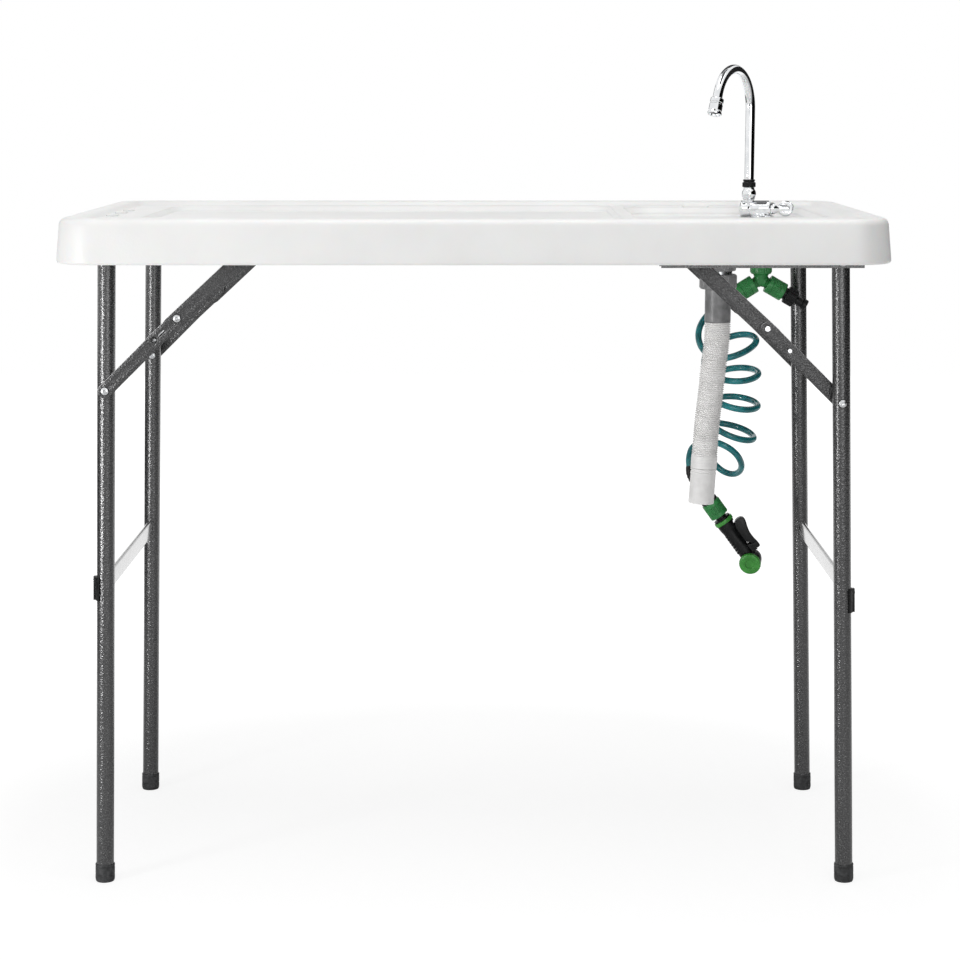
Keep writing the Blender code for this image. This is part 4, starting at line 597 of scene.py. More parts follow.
# Curves that cords and pipes follow
def smooth_through(points, spacing):
    """Evenly spaced points on a smooth curve through points, with both ends kept."""
    chain = [Vector(p) for p in points]
    padded = [chain[0] * 2 - chain[1]] + chain + [chain[-1] * 2 - chain[-2]]
    fine = []
    for i in range(1, len(padded) - 2):
        before, start, end, after = padded[i - 1:i + 3]
        for step in range(16):
            t = step / 16
            fine.append(0.5 * (2 * start + (end - before) * t
                               + (2 * before - 5 * start + 4 * end - after) * t ** 2
                               + (3 * start - before - 3 * end + after) * t ** 3))
    fine.append(chain[-1])
    return evenly(fine, spacing)


def evenly(fine, spacing):
    count = max(2, round(path_length(fine) / spacing))
    step = path_length(fine) / count
    result = [fine[0]]
    walked = 0.0
    for a, b in zip(fine, fine[1:]):
        stretch = (b - a).length
        while len(result) < count and walked + stretch >= step * len(result):
            result.append(a.lerp(b, (step * len(result) - walked) / stretch))
        walked += stretch
    result.append(fine[-1])
    return result


def path_length(points):
    return sum((b - a).length for a, b in zip(points, points[1:]))


def line_curve(name, points, radius=0.0, radii=None, resolution=6):
    curve = bpy.data.curves.new(name, "CURVE")
    curve.dimensions = "3D"
    curve.bevel_depth = radius
    curve.bevel_resolution = resolution
    curve.use_fill_caps = True
    curve.twist_mode = "MINIMUM"
    spline = curve.splines.new("POLY")
    spline.points.add(len(points) - 1)
    for i, (point, at) in enumerate(zip(spline.points, points)):
        point.co = (*at, 1.0)
        point.radius = radii[i] / radius if radii else 1.0
    spline.use_smooth = True
    return curve


def pipe(name, points, radius, radii=None, resolution=8):
    """A round pipe along points, as a mesh."""
    piece = bake(new_piece(name, line_curve(name, points, radius, radii, resolution)))
    weld(piece.data)
    smooth(piece.data, 40.0)
    return piece


# Fittings under the tap: a two-way splitter that hangs from the tap's shank
SPLITTER = Vector((0.4457, 0.190, 0.8352))
SHANK_BOTTOM = 0.868
COLLAR_BOTTOM = 0.8435
GAP = 0.0003
ARM_ANGLE = {-1: math.radians(32.0), 1: math.radians(30.0)}
SLEEVE_START = 0.0120
SLEEVE_LENGTH = 0.0295
SLEEVE_RADIUS = 0.0145
SLEEVE_BORE = 0.0100
SLEEVE_TRAVEL = 0.0035
HOSE_RADIUS = 0.0050
ARM_REACH = SLEEVE_START + SLEEVE_LENGTH * 0.62
PLUG_START = ARM_REACH + GAP
SLEEVE_END = SLEEVE_START + SLEEVE_LENGTH + SLEEVE_TRAVEL
TAIL_END = SLEEVE_END + 0.002


def arm_heading(side):
    return Vector((side * math.cos(ARM_ANGLE[side]), 0.0, -math.sin(ARM_ANGLE[side])))


# The coiled hose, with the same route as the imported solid
COIL_RADIUS = 0.0425
COIL_MIDDLE = SPLITTER + Vector((-0.0512, -0.0450, -0.0911))
COIL_PITCH = 0.0505
COIL_TURNS = 3.27
COIL_POINTS_PER_TURN = 24
COIL_SWAY = 0.004
COIL_RETURN = 0.002
COIL_TILT_BACK = 0.36
FIRST_TURN_TILT = 0.18
COIL_TILT_RIGHT = 0.22
TILT_LOST_PER_TURN = 0.16
HOSE_LEAD_IN = [
    (-0.0602, -0.0010, -0.0367),
    (-0.0806, -0.0040, -0.0521),
    (-0.0947, -0.0150, -0.0683),
    (-0.1002, -0.0330, -0.0853),
    (-0.0969, -0.0540, -0.1011),
    (-0.0861, -0.0730, -0.1122),
    (-0.0709, -0.0840, -0.1164),
    (-0.0536, -0.0870, -0.1130),
    (-0.0355, -0.0820, -0.1069),
    (-0.0202, -0.0680, -0.1001),
]
HOSE_LEAD_OUT = [
    (-0.0796, -0.0130, -0.2239),
    (-0.0921, -0.0300, -0.2287),
    (-0.0962, -0.0510, -0.2360),
    (-0.0894, -0.0710, -0.2417),
    (-0.0734, -0.0830, -0.2450),
    (-0.0542, -0.0860, -0.2528),
    (-0.0392, -0.0780, -0.2673),
    (-0.0308, -0.0600, -0.2851),
    (-0.0329, -0.0380, -0.3004),
    (-0.0453, -0.0220, -0.3062),
    (-0.0597, -0.0150, -0.3001),
    (-0.0745, -0.0180, -0.2845),
    (-0.0874, -0.0270, -0.2664),
    (-0.0997, -0.0400, -0.2541),
    (-0.1100, -0.0520, -0.2571),
    (-0.1143, -0.0600, -0.2701),
]
BOOT_PLACES = [
    (-0.1132, -0.0645, -0.2859),
    (-0.1125, -0.0672, -0.2955),
    (-0.1082, -0.0695, -0.3052),
    (-0.0992, -0.0713, -0.3192),
]
GUN = SPLITTER - Vector((0.0817, 0.0720, 0.3397))
GUN_PITCH = math.radians(54.0)
GUN_HEADING = Vector((math.cos(GUN_PITCH), 0.0, -math.sin(GUN_PITCH)))
GUN_SIDE = Vector((math.sin(GUN_PITCH), 0.0, math.cos(GUN_PITCH)))


def from_splitter(places):
    return [SPLITTER + Vector(place) for place in places]


def coil_point(turns):
    """A point of the coil. A whole number of turns is at the right, and the hose runs right, back, left,
    front. The upper turns lean most."""
    angle = math.tau * turns
    sway = COIL_SWAY * math.sin(math.pi * min(1.0, turns / 3)) - COIL_RETURN * max(0.0, turns - 2)
    tilt_back = COIL_TILT_BACK + FIRST_TURN_TILT * max(0.0, 1 - turns)
    tilt_right = COIL_TILT_RIGHT - TILT_LOST_PER_TURN * turns
    lean = tilt_back * math.sin(angle) + tilt_right * (math.cos(angle) - 1)
    return COIL_MIDDLE + Vector((sway + COIL_RADIUS * math.cos(angle), COIL_RADIUS * math.sin(angle),
                                 COIL_RADIUS * lean - COIL_PITCH * turns))


def eased(points):
    inner = [(a + 2 * b + c) / 4 for a, b, c in zip(points[1:], points[2:-1], points[3:])]
    return points[:2] + inner + points[-1:]


def hose_exit():
    return SPLITTER + arm_heading(-1) * (TAIL_END + GAP)


def hose_route():
    boot = from_splitter(BOOT_PLACES)
    arrive = (boot[1] - boot[0]).normalized()
    end = boot[0] - arrive * GAP
    straight = 2 * HOSE_RADIUS
    points = [hose_exit() + arm_heading(-1) * straight] + from_splitter(HOSE_LEAD_IN)
    steps = round(COIL_TURNS * COIL_POINTS_PER_TURN / 2)
    points += [coil_point(COIL_TURNS * i / steps) for i in range(steps + 1)]
    points += from_splitter(HOSE_LEAD_OUT) + [end - arrive * straight]
    middle = eased(eased(smooth_through(points, math.tau * COIL_RADIUS / COIL_POINTS_PER_TURN)))
    return smooth_through([hose_exit()] + middle + [end], 0.0035)


# The boot: radius and growth, rings and the shares of its length with them, flare and the share it takes
BOOT_RADIUS = 0.0056
BOOT_GROWTH = 0.0028
BOOT_RING = 0.00035
RINGS_FROM = 0.12
RINGS_TO = 0.80
BOOT_FLARE = 0.0052
FLARE_SHARE = 0.14


def make_hose_boot():
    """The black strain relief that swells from the hose to a collar at the gun, with moulded rings."""
    points = from_splitter(BOOT_PLACES)
    points += [GUN - GUN_HEADING * (GAP + 2 * HOSE_RADIUS), GUN - GUN_HEADING * GAP]
    route = smooth_through(points, 0.0010)
    radii = []
    for i in range(len(route)):
        share = i / (len(route) - 1)
        ring = BOOT_RING * math.cos(math.tau * i / 5) if RINGS_FROM < share < RINGS_TO else 0.0
        flare = BOOT_FLARE * min(1.0, max(0.0, (share - RINGS_TO) / FLARE_SHARE))
        radii.append(BOOT_RADIUS + BOOT_GROWTH * share + ring + flare)
    return dress(pipe("hose_strain_relief", route, 0.0085, radii), "hose_boot")


def make_coiled_hose():
    route = hose_route()
    piece = new_piece("coiled_spray_hose", line_curve("coiled_spray_hose", route, HOSE_RADIUS, None, 7))
    reach = TAIL_END - PLUG_START
    r = SLEEVE_BORE - GAP
    profile = [(r, 0.0), (r, reach - 0.0025), (r - 0.0006, reach - 0.0014), (r - 0.0018, reach - 0.0004),
               (HOSE_RADIUS + 0.0010, reach)]
    heading = arm_heading(-1)
    tail = turned("hose_end_fitting", solid(profile), SPLITTER + heading * PLUG_START, heading)
    dress(tail, "hose_tail")
    boot = make_hose_boot()
    dress(piece, "coil_hose")


make_coiled_hose()

# The drain hose hangs from the tailpiece's mouth and leans to the left as it goes down
BASIN_X = 0.3605
TAILPIECE_BOTTOM = 0.7866
DRAIN_HOSE_RADIUS = 0.0195
DRAIN_HOSE_VALLEY = 0.0027
DRAIN_RIB_PITCH = 0.0030
CUFF_RADIUS = 0.0190
CUFF_LENGTH = 0.053
BAND_OFFSETS = (-0.0150, -0.0095)
DRAIN_STEP = 0.003
DRAIN_DROP = [
    (0.0, 0.0, 0.0),
    (0.0, 0.0, -0.0163),
    (-0.0015, 0.0, -0.0363),
    (-0.0056, 0.0, -0.0715),
    (-0.0097, 0.0, -0.1143),
    (-0.0139, 0.0, -0.1559),
    (-0.0164, 0.0, -0.1983),
    (-0.0176, 0.0, -0.2195),
]


def make_drain_cuff(end, heading):
    """A plain tube with a lip and a groove at its upper end and a rounded lower end."""
    r, tip = CUFF_RADIUS, CUFF_LENGTH
    outer = [(r - 0.0030, 0.0), (r + 0.0002, 0.0), (r + 0.0004, 0.0007), (r + 0.0004, 0.0022),
             (r - 0.0006, 0.0030), (r - 0.0006, 0.0048), (r + 0.0002, 0.0056), (r + 0.0002, 0.0085),
             (r - 0.0002, 0.0093), (r, tip - 0.0012), (r - 0.0004, tip - 0.0003), (r - 0.0012, tip),
             (r - 0.0022, tip - 0.0003), (r - 0.0027, tip - 0.0012)]
    return dress(turned("drain_hose_cuff", outer, end + heading * GAP, heading, 72, True), "drain_cuff")


def make_drain_band(at, heading):
    r = DRAIN_HOSE_RADIUS
    outer = [(r - 0.0010, 0.0), (r + 0.0001, 0.0003), (r + 0.0003, 0.0012), (r + 0.0001, 0.0021),
             (r - 0.0010, 0.0024)]
    return dress(turned("drain_hose_band", outer, at, heading, 72, True), like="drain_hose")


def make_drain_hose():
    """The ribbed hose, the bands round its plain end and the cuff, in which the hose runs on, narrower."""
    top = Vector((BASIN_X, 0.0, TAILPIECE_BOTTOM - GAP))
    line = [top + Vector(drop) for drop in DRAIN_DROP]
    heading = (line[-1] - line[-2]).normalized()
    inside = [line[-1] + heading * (CUFF_LENGTH - 0.0015) * i / 4 for i in range(1, 5)]
    route = smooth_through(line + inside, DRAIN_STEP)
    length = path_length(smooth_through(line, DRAIN_STEP))
    wall = grown("ribbed_drain_hose", RIBBED_HOSE, {
        "Ridge Radius": DRAIN_HOSE_RADIUS, "Valley Depth": DRAIN_HOSE_VALLEY, "Pitch": DRAIN_RIB_PITCH,
        "Ribs End": length - PLAIN_END, "Material": MATERIALS["pale_pvc"]}, line_curve("drain_line", route))
    weld(wall.data)
    smooth(wall.data, 60.0)
    dress(wall, "drain_hose")
    cuff = make_drain_cuff(line[-1], heading)
    bands = [make_drain_band(line[-1] + heading * offset, heading) for offset in BAND_OFFSETS]


make_drain_hose()


# Table top
LOW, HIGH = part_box("table_top")
LENGTH = HIGH[0] - LOW[0]
WIDTH = HIGH[1] - LOW[1]
HEIGHT = HIGH[2]
SKIRT_BOTTOM = HEIGHT - 0.063
SKIRT_WALL = 0.011
SKIRT_DRAFT = 0.0045
CORNER_RADIUS = 0.058
INNER_CORNER = 0.012
RIM_RADIUS = 0.012
RIM_WIDTH = 0.018
EDGE_ROUNDING = 0.0045
DECK_Z = HEIGHT - 0.010
DECK_FACE = HEIGHT - 0.0068
BOARD_FACE = HEIGHT - 0.0148
UNDERSIDE_Z = DECK_Z - 0.016
LEDGE_Z = DECK_Z - 0.012
BASIN_FLOOR = LEDGE_Z - 0.052
BASIN_UNDERSIDE = BASIN_FLOOR - 0.004
BASIN_HALF = (0.110, 0.170)
BASIN_CENTRE = (BASIN_X, -0.020)
BASIN_DRAFT = 0.012
BASIN_CORNER = 0.034
FLAT_HALF = (0.062, 0.074)
FLAT_CORNER = 0.030
BASIN_FALL = 0.0070
LEDGE = (0.238, 0.500, -0.214, 0.232)
LEDGE_CORNER = 0.040
BOARD = (-0.470, 0.205, -0.222, 0.222)
BOARD_CORNER = 0.024
NOTCH = (0.326, 0.366, LEDGE[3] + 0.002, LEDGE[3] + 0.018)
NOTCH_CORNER = 0.006
NOTCH_DEPTH = 0.004
BOSS_X = -0.5215
BOSS_YS = (-0.085, -0.005, 0.070)
BOSS_HALF = (0.0085, 0.0125)
BOSS_CORNER = 0.005
BOSS_STEPS = ((0.0, -0.001), (0.0, 0.0012), (0.0004, 0.0022), (0.0014, 0.0029), (0.0028, 0.0031))
TAP = Vector((SPLITTER.x, SPLITTER.y, LEDGE_Z))
SHANK_RADIUS = 0.0100
DRAIN_NECK = 0.0205


def table_ring(inset, height):
    corner = max(CORNER_RADIUS - inset, INNER_CORNER)
    return rounded_rectangle(LENGTH / 2 - inset, WIDTH / 2 - inset, corner), height


def basin_ring(extra, height, draft):
    outline = rounded_rectangle(BASIN_HALF[0] + extra - draft, BASIN_HALF[1] + extra - draft,
                                BASIN_CORNER - draft / 2 + extra, BASIN_CENTRE)
    return outline, height


def flat_ring(height):
    """The flat of the basin's floor round the drain."""
    return rounded_rectangle(*FLAT_HALF, FLAT_CORNER, (BASIN_X, 0.0)), height


def hollow(name, low_x, high_x, low_y, high_y, corner, steps):
    """A shallow hollow with rounded corners. Each step is (how far the wall is drawn in, its height)."""
    centre = ((low_x + high_x) / 2, (low_y + high_y) / 2)
    half_x, half_y = (high_x - low_x) / 2, (high_y - low_y) / 2
    rings = []
    for inset, height in steps:
        rings.append((rounded_rectangle(half_x - inset, half_y - inset, corner - inset, centre), height))
    return loft(name, rings)


def eased_steps(floor, depth, slope, round_low, round_high):
    """Heights and insets of a hollow's wall: a rounded foot, a slope and a rounded lip."""
    foot = []
    lip = []
    for i in range(5):
        turn = math.radians(22.5 * i)
        foot.append((round_low * (1 - math.sin(turn)), floor + round_low * (1 - math.cos(turn))))
        lip.append((-slope - round_high * (1 - math.cos(turn)),
                    floor + depth - round_high * (1 - math.sin(turn))))
    return foot + lip + [(lip[-1][0] - 0.004, floor + depth + 0.006)]


def panel_rings():
    """The panel from its underside down inside the skirt, round the skirt's foot, up and over the rim."""
    draft_top = SKIRT_DRAFT + RIM_RADIUS
    edge = []
    for step in range(11):
        turn = math.radians(9 * step)
        inset = draft_top - RIM_RADIUS * math.cos(turn)
        edge.append(table_ring(inset, HEIGHT - RIM_RADIUS * (1 - math.sin(turn))))
    foot = []
    for step in range(7):
        turn = math.radians(15 * step)
        foot.append(table_ring(EDGE_ROUNDING * (1 - math.sin(turn)),
                               SKIRT_BOTTOM + EDGE_ROUNDING * (1 - math.cos(turn))))
    inner = draft_top + RIM_WIDTH
    down = []
    for step in range(9):
        share = step / 8
        fall = (1 - math.cos(math.pi * share)) / 2
        down.append(table_ring(inner + 0.013 * share, HEIGHT - (HEIGHT - DECK_FACE) * fall))
    return [
        table_ring(SKIRT_WALL + SKIRT_DRAFT + 0.006, UNDERSIDE_Z),
        table_ring(SKIRT_WALL + 0.002, UNDERSIDE_Z - 0.006),
        table_ring(SKIRT_WALL, SKIRT_BOTTOM + 0.0015),
        table_ring(SKIRT_WALL - 0.0015, SKIRT_BOTTOM),
        *foot,
        *edge,
        *down,
    ]


def basin_shell():
    """The basin's outside, from its underside up into the panel."""
    low = BASIN_UNDERSIDE + BASIN_FALL
    return loft("basin_shell", [
        flat_ring(BASIN_UNDERSIDE),
        basin_ring(-0.010, low, BASIN_DRAFT),
        basin_ring(-0.002, low + 0.002, BASIN_DRAFT),
        basin_ring(0.003, low + 0.007, BASIN_DRAFT * 0.9),
        basin_ring(0.004, UNDERSIDE_Z + 0.002, 0.0)])


def basin_hollow():
    """The basin's inside: a floor that falls to the drain, a rounded foot, sloped walls and a rounded lip."""
    low = BASIN_FLOOR + BASIN_FALL
    return loft("basin", [
        flat_ring(BASIN_FLOOR),
        basin_ring(-0.012, low, BASIN_DRAFT),
        basin_ring(-0.007, low + 0.0008, BASIN_DRAFT),
        basin_ring(-0.003, low + 0.0028, BASIN_DRAFT),
        basin_ring(-0.001, low + 0.006, BASIN_DRAFT * 0.95),
        basin_ring(0.0, low + 0.012, BASIN_DRAFT * 0.80),
        basin_ring(0.0, LEDGE_Z - 0.005, 0.001),
        basin_ring(0.0010, LEDGE_Z - 0.002, 0.0),
        basin_ring(0.0028, LEDGE_Z - 0.0005, 0.0),
        basin_ring(0.0050, LEDGE_Z + 0.0002, 0.0),
        basin_ring(0.006, LEDGE_Z + 0.020, 0.0)])


def make_table_top():
    top = loft("moulded_table_top", panel_rings())
    carve(top, basin_shell(), operation="UNION")
    board = hollow("board", *BOARD, BOARD_CORNER,
                   eased_steps(BOARD_FACE, DECK_FACE - BOARD_FACE, 0.005, 0.0025, 0.0015))
    ledge = hollow("ledge", *LEDGE, LEDGE_CORNER,
                   eased_steps(LEDGE_Z, DECK_FACE - LEDGE_Z, 0.007, 0.0050, 0.0030))
    notch = hollow("notch", *NOTCH, NOTCH_CORNER,
                   eased_steps(DECK_FACE - NOTCH_DEPTH, NOTCH_DEPTH, 0.0015, 0.0010, 0.0008))
    basin = basin_hollow()
    drain = rod("drain", DRAIN_NECK + 0.001, BASIN_FLOOR - 0.015, BASIN_FLOOR + 0.015,
                (BASIN_X, 0.0, 0.0), UP)
    hole = rod("hole", SHANK_RADIUS + 0.001, LEDGE_Z - 0.025, LEDGE_Z + 0.025, (TAP.x, TAP.y, 0.0), UP)
    carve(top, board, ledge, notch, basin, drain, hole)
    dress(top, "table_top")


def make_end_bosses():
    """Three low bosses moulded in the deck by the left end."""
    for y in BOSS_YS:
        rings = []
        for inset, height in BOSS_STEPS:
            outline = rounded_rectangle(BOSS_HALF[0] - inset, BOSS_HALF[1] - inset, BOSS_CORNER - inset,
                                        (BOSS_X, y), 8)
            rings.append((outline, DECK_FACE + height))
        dress(loft("deck_boss", rings), like="table_top")


make_table_top()
make_end_bosses()


# Leg frames and folding braces
LEG_RADIUS = 0.0125
LEG_SPLAY = math.radians(1.65)
LEG_Y = 0.228
FOOT_RADIUS = 0.0139
FOOT_HEIGHT = 0.026
FOOT_SOLE = 0.006
BRACE_LEG_OFFSET = 0.198
LOWER_LINK = 0.145
OVER_CENTRE = 0.0025
LINK_THICKNESS = 0.002
LOWER_LINK_WIDTH = 0.020
UPPER_LINK_WIDTH = 0.023
TONGUE_LENGTH = 0.052
TONGUE_WIDTH = 0.0205
LOCK_HOLE = 0.0035
LOCK_HOLE_FROM_KNEE = 0.044
SLOT_FROM_KNEE = 0.024
SLOT_LENGTH = 0.011
SHOULDER_FROM_KNEE = 0.014
SHOULDER_LENGTH = 0.005
TIP_RADIUS = 0.004
LINK_EDGE = 0.0008
KNEE_RIVET_OFFSET = 0.0015
RIVET_RADIUS = 0.0035
HEAD_RADIUS = 0.0056
HEAD_HEIGHT = 0.0022
BOLT_RADIUS = 0.004
BOLT_HEAD_RADIUS = 0.007
BOLT_HEAD_HEIGHT = 0.004
CROSSBAR_Z = 0.436
CROSSBAR_HEIGHT = 0.027
CROSSBAR_THICKNESS = 0.006
CLIP_HEIGHT = 0.034
CLIP_BELOW_PIVOT = 0.480
LOWER_OUT = LEG_RADIUS + GAP + LINK_THICKNESS / 2
HEAD_OUT = LOWER_OUT + LINK_THICKNESS / 2 + GAP
UPPER_OUT = HEAD_OUT + HEAD_HEIGHT + GAP + LINK_THICKNESS / 2
WALL_OUT = UPPER_OUT + LINK_THICKNESS / 2 + GAP
WALL_IN = LEG_RADIUS + GAP + HEAD_HEIGHT + 0.001
SHEET = 0.002
SCREW_RADIUS = 0.0042
SCREW_HEIGHT = 0.0012
WASHER_RADIUS = 0.0064
WASHER_HEIGHT = 0.0008
SCREW_INSET = 0.030
DOME_STEP = 13


def side_name(side):
    return "left" if side < 0 else "right"


def joint_place(name):
    return Vector(JOINTS[name]["pos_m"])


def leg_pivot(side, depth=0):
    return joint_place(side_name(side) + "_leg_fold") + BACKWARD * (depth * LEG_Y)


def leg_down(side):
    return Vector((side * math.sin(LEG_SPLAY), 0.0, -math.cos(LEG_SPLAY)))


def leg_length(side):
    return leg_pivot(side).z / math.cos(LEG_SPLAY)


def leg_point(side, depth, along):
    return leg_pivot(side, depth) + leg_down(side) * along


def brace_side(side, depth):
    return depth if side < 0 else 1


def link_points(side):
    """Leg rivet, knee and top pin of a brace in the XZ plane, unfolded, a little over centre."""
    rivet = leg_point(side, 0, BRACE_LEG_OFFSET)
    top = joint_place(side_name(side) + "_upper_links_turn")
    line = (top - rivet).normalized()
    over = Vector((side * abs(line.z), 0.0, abs(line.x)))
    along = math.sqrt(LOWER_LINK ** 2 - OVER_CENTRE ** 2)
    return rivet, rivet + line * along + over * OVER_CENTRE, top


def rivet_head(radius, height, base, dimple=True):
    """A domed rivet head from its flat side up, with the dimple that the setting tool leaves."""
    crown = math.sin(math.radians(6 * DOME_STEP))
    points = [(radius * 0.96, base), (radius, base + height * 0.16)]
    for i in range(1, 7):
        turn = math.radians(DOME_STEP * i)
        points.append((radius * math.cos(turn), base + height * (0.16 + 0.84 * math.sin(turn) / crown)))
    if not dimple:
        return points + [(0.0, base + height * 1.02)]
    hole = radius * 0.40
    top = points[-1][1]
    rim = [(hole + 0.0003, top), (hole, top - height * 0.12)]
    dent = [(hole * 0.7, top - height * 0.48), (0.0, top - height * 0.56)]
    return [point for point in points if point[0] > hole + 0.0004] + rim + dent


def turned_over(head, base):
    """The same head facing the other way from its flat side at base, as the start of a profile."""
    return [(radius, 2 * base - height) for radius, height in reversed(head)]


def rivet_shade_ring(height):
    """A thin near-black ring round a rivet head: painted shade in the crevice round the head."""
    return [(HEAD_RADIUS - 0.0006, height - 0.0002), (HEAD_RADIUS + 0.0011, height - 0.0002),
            (HEAD_RADIUS + 0.0010, height + 0.0002), (HEAD_RADIUS - 0.0006, height + 0.0003)]


def make_leg(name, side, depth):
    length = leg_length(side) - FOOT_SOLE - GAP
    crown = [(LEG_RADIUS * math.cos(math.radians(t)), -LEG_RADIUS * math.sin(math.radians(t)))
             for t in (90, 80, 65, 50, 35, 20, 10)]
    profile = [(0.0, crown[0][1])] + crown[1:] + [(LEG_RADIUS, 0.0)]
    profile += [(LEG_RADIUS, length * i / 8) for i in range(1, 9)] + [(0.0, length)]
    dress(turned(name + "_tube", profile, leg_pivot(side, depth), leg_down(side)), name)


def make_foot(name, side, depth):
    """A rubber cap with two moulded rings and a rounded heel, cut level where it stands."""
    r, h = FOOT_RADIUS, FOOT_HEIGHT
    outer = [(0.0, -0.0012), (r - 0.0016, -0.0010), (r - 0.0008, 0.0006), (r - 0.0003, 0.0022),
             (r, 0.0042), (r, 0.0096), (r - 0.0005, 0.0101), (r - 0.0005, 0.0113), (r, 0.0118),
             (r, h - 0.0052), (r - 0.0005, h - 0.0047), (r - 0.0005, h - 0.0035), (r, h - 0.0030),
             (r, h - 0.0010), (r - 0.0004, h - 0.0003), (r - 0.0009, h), (LEG_RADIUS + GAP, h),
             (LEG_RADIUS + GAP, FOOT_SOLE), (0.0, FOOT_SOLE)]
    floor_point = leg_point(side, depth, leg_length(side))
    foot = turned(name + "_cap", outer, floor_point, -leg_down(side))
    square = rounded_rectangle(0.03, 0.03, 0.005, floor_point.xy, 2)
    carve(foot, loft("below", [(square, -0.02), (square, 0.0)]))
    dress(foot, name)


def make_lower_link(name, side, depth):
    rivet, knee, _ = link_points(side)
    direction = (knee - rivet).normalized()
    half = LOWER_LINK_WIDTH / 2
    outline = arc((0.0, 0.0), half, 90, 270, 24) + arc((LOWER_LINK, 0.0), half, -90, 90, 24)
    lock_at = (LOWER_LINK - LOCK_HOLE_FROM_KNEE, 0.0)
    holes = [circle((0.0, 0.0), RIVET_RADIUS + GAP), circle((LOWER_LINK, 0.0), RIVET_RADIUS + GAP),
             circle(lock_at, LOCK_HOLE)]
    out = brace_side(side, depth)
    at = rivet + BACKWARD * (depth * LEG_Y + out * LOWER_OUT)
    across = BACKWARD.cross(direction)
    link = plate(name + "_strap", [outline, *holes], LINK_THICKNESS, at, direction, across, LINK_EDGE)
    dress(link, name, material=LINK_COAT)
    button_at = at + direction * lock_at[0] - BACKWARD * (out * LINK_THICKNESS / 2)
    button = [(LOCK_HOLE - 0.0006, 0.0), (LOCK_HOLE - 0.0006, LINK_THICKNESS),
              (LOCK_HOLE - 0.0010, LINK_THICKNESS + 0.0004), (LOCK_HOLE - 0.0018, LINK_THICKNESS + 0.0006)]
    dress(turned(name + "_button", solid(button), button_at, BACKWARD * out, 24), like=name, material=ZINC)


def upper_link_outline(length, shift):
    """A strap with a round end at its pin, and past the knee a tongue that is narrower."""
    half = UPPER_LINK_WIDTH / 2
    tongue = TONGUE_WIDTH / 2
    shoulder = length + SHOULDER_FROM_KNEE
    tip = length + TONGUE_LENGTH
    outline = arc((0.0, 0.0), half - 0.001, 90, 270, 24)
    outline += [(0.016, shift - half), (shoulder, shift - half),
                (shoulder + SHOULDER_LENGTH, shift - tongue)]
    outline += arc((tip - TIP_RADIUS, shift - tongue + TIP_RADIUS), TIP_RADIUS, -90, 0, 6)
    outline += arc((tip - TIP_RADIUS, shift + tongue - TIP_RADIUS), TIP_RADIUS, 0, 90, 6)
    return outline + [(shoulder + SHOULDER_LENGTH, shift + tongue), (shoulder, shift + half),
                      (0.016, shift + half)]


def make_upper_link(name, side, depth):
    _, knee, top = link_points(side)
    direction = (knee - top).normalized()
    length = (knee - top).length
    out = brace_side(side, depth)
    across = BACKWARD.cross(direction)
    low = 1 if across.z < 0 else -1
    shift = low * KNEE_RIVET_OFFSET
    slot_x = length + SLOT_FROM_KNEE
    slot = [(slot_x, shift - 0.001), (slot_x + SLOT_LENGTH, shift - 0.001),
            (slot_x + SLOT_LENGTH, shift + 0.0008), (slot_x, shift + 0.0008)]
    lock_x = length + LOCK_HOLE_FROM_KNEE
    outlines = [upper_link_outline(length, shift), circle((0.0, 0.0), RIVET_RADIUS + GAP),
                circle((lock_x, 0.0), LOCK_HOLE), slot]
    at = top + BACKWARD * (depth * LEG_Y + out * UPPER_OUT)
    dress(plate(name + "_strap", outlines, LINK_THICKNESS, at, direction, across, LINK_EDGE), name,
          material=LINK_COAT)
    knee_at = knee + BACKWARD * (depth * LEG_Y)
    make_knee_rivet(name, knee_at, BACKWARD * out)
    half = SLOT_LENGTH / 2
    lip_at = at + BACKWARD * (out * (LINK_THICKNESS / 2 + 0.0001)) + direction * (slot_x + half)
    lip = rounded_rectangle(half, 0.0008, 0.0007, (0.0, shift + low * -0.0016), 3)
    dress(plate(name + "_slot_lip", [lip], 0.0006, lip_at, direction, across, 0.0002), like=name,
          material=ZINC)
    # A near-black ring round the knee rivet's head: painted shade
    shade_ring = turned(name + "_knee_seat", rivet_shade_ring(UPPER_OUT + LINK_THICKNESS / 2), knee_at,
                  BACKWARD * out, 36, True)
    dress(shade_ring, like=name, material=PAINTED_SHADE)
    make_lock_rim(name, at + direction * lock_x, BACKWARD * out)


def make_knee_rivet(name, at, toward):
    """Joins the links: a wide part lies between them, and the head closes over the upper one."""
    face = UPPER_OUT + LINK_THICKNESS / 2
    under = face - LINK_THICKNESS - 0.0001
    shank = [(0.0, HEAD_OUT), (HEAD_RADIUS + 0.001, HEAD_OUT), (HEAD_RADIUS + 0.001, under),
             (RIVET_RADIUS, under), (RIVET_RADIUS, face)]
    profile = shank + rivet_head(HEAD_RADIUS, HEAD_HEIGHT, face - 0.0001)
    dress(turned(name + "_knee_rivet", profile, at, toward, 36), like=name, material=ZINC)


def make_lock_rim(name, at, toward):
    # A near-black ring round the lock hole: painted shade in the hole
    r = LOCK_HOLE
    rim = [(r, -0.0010), (r + 0.0012, -0.0010), (r + 0.0012, 0.0011), (r + 0.0006, 0.0014), (r, 0.0011)]
    dress(turned(name + "_lock_rim", rim, at, toward, 32, True), like=name, material=PAINTED_SHADE)


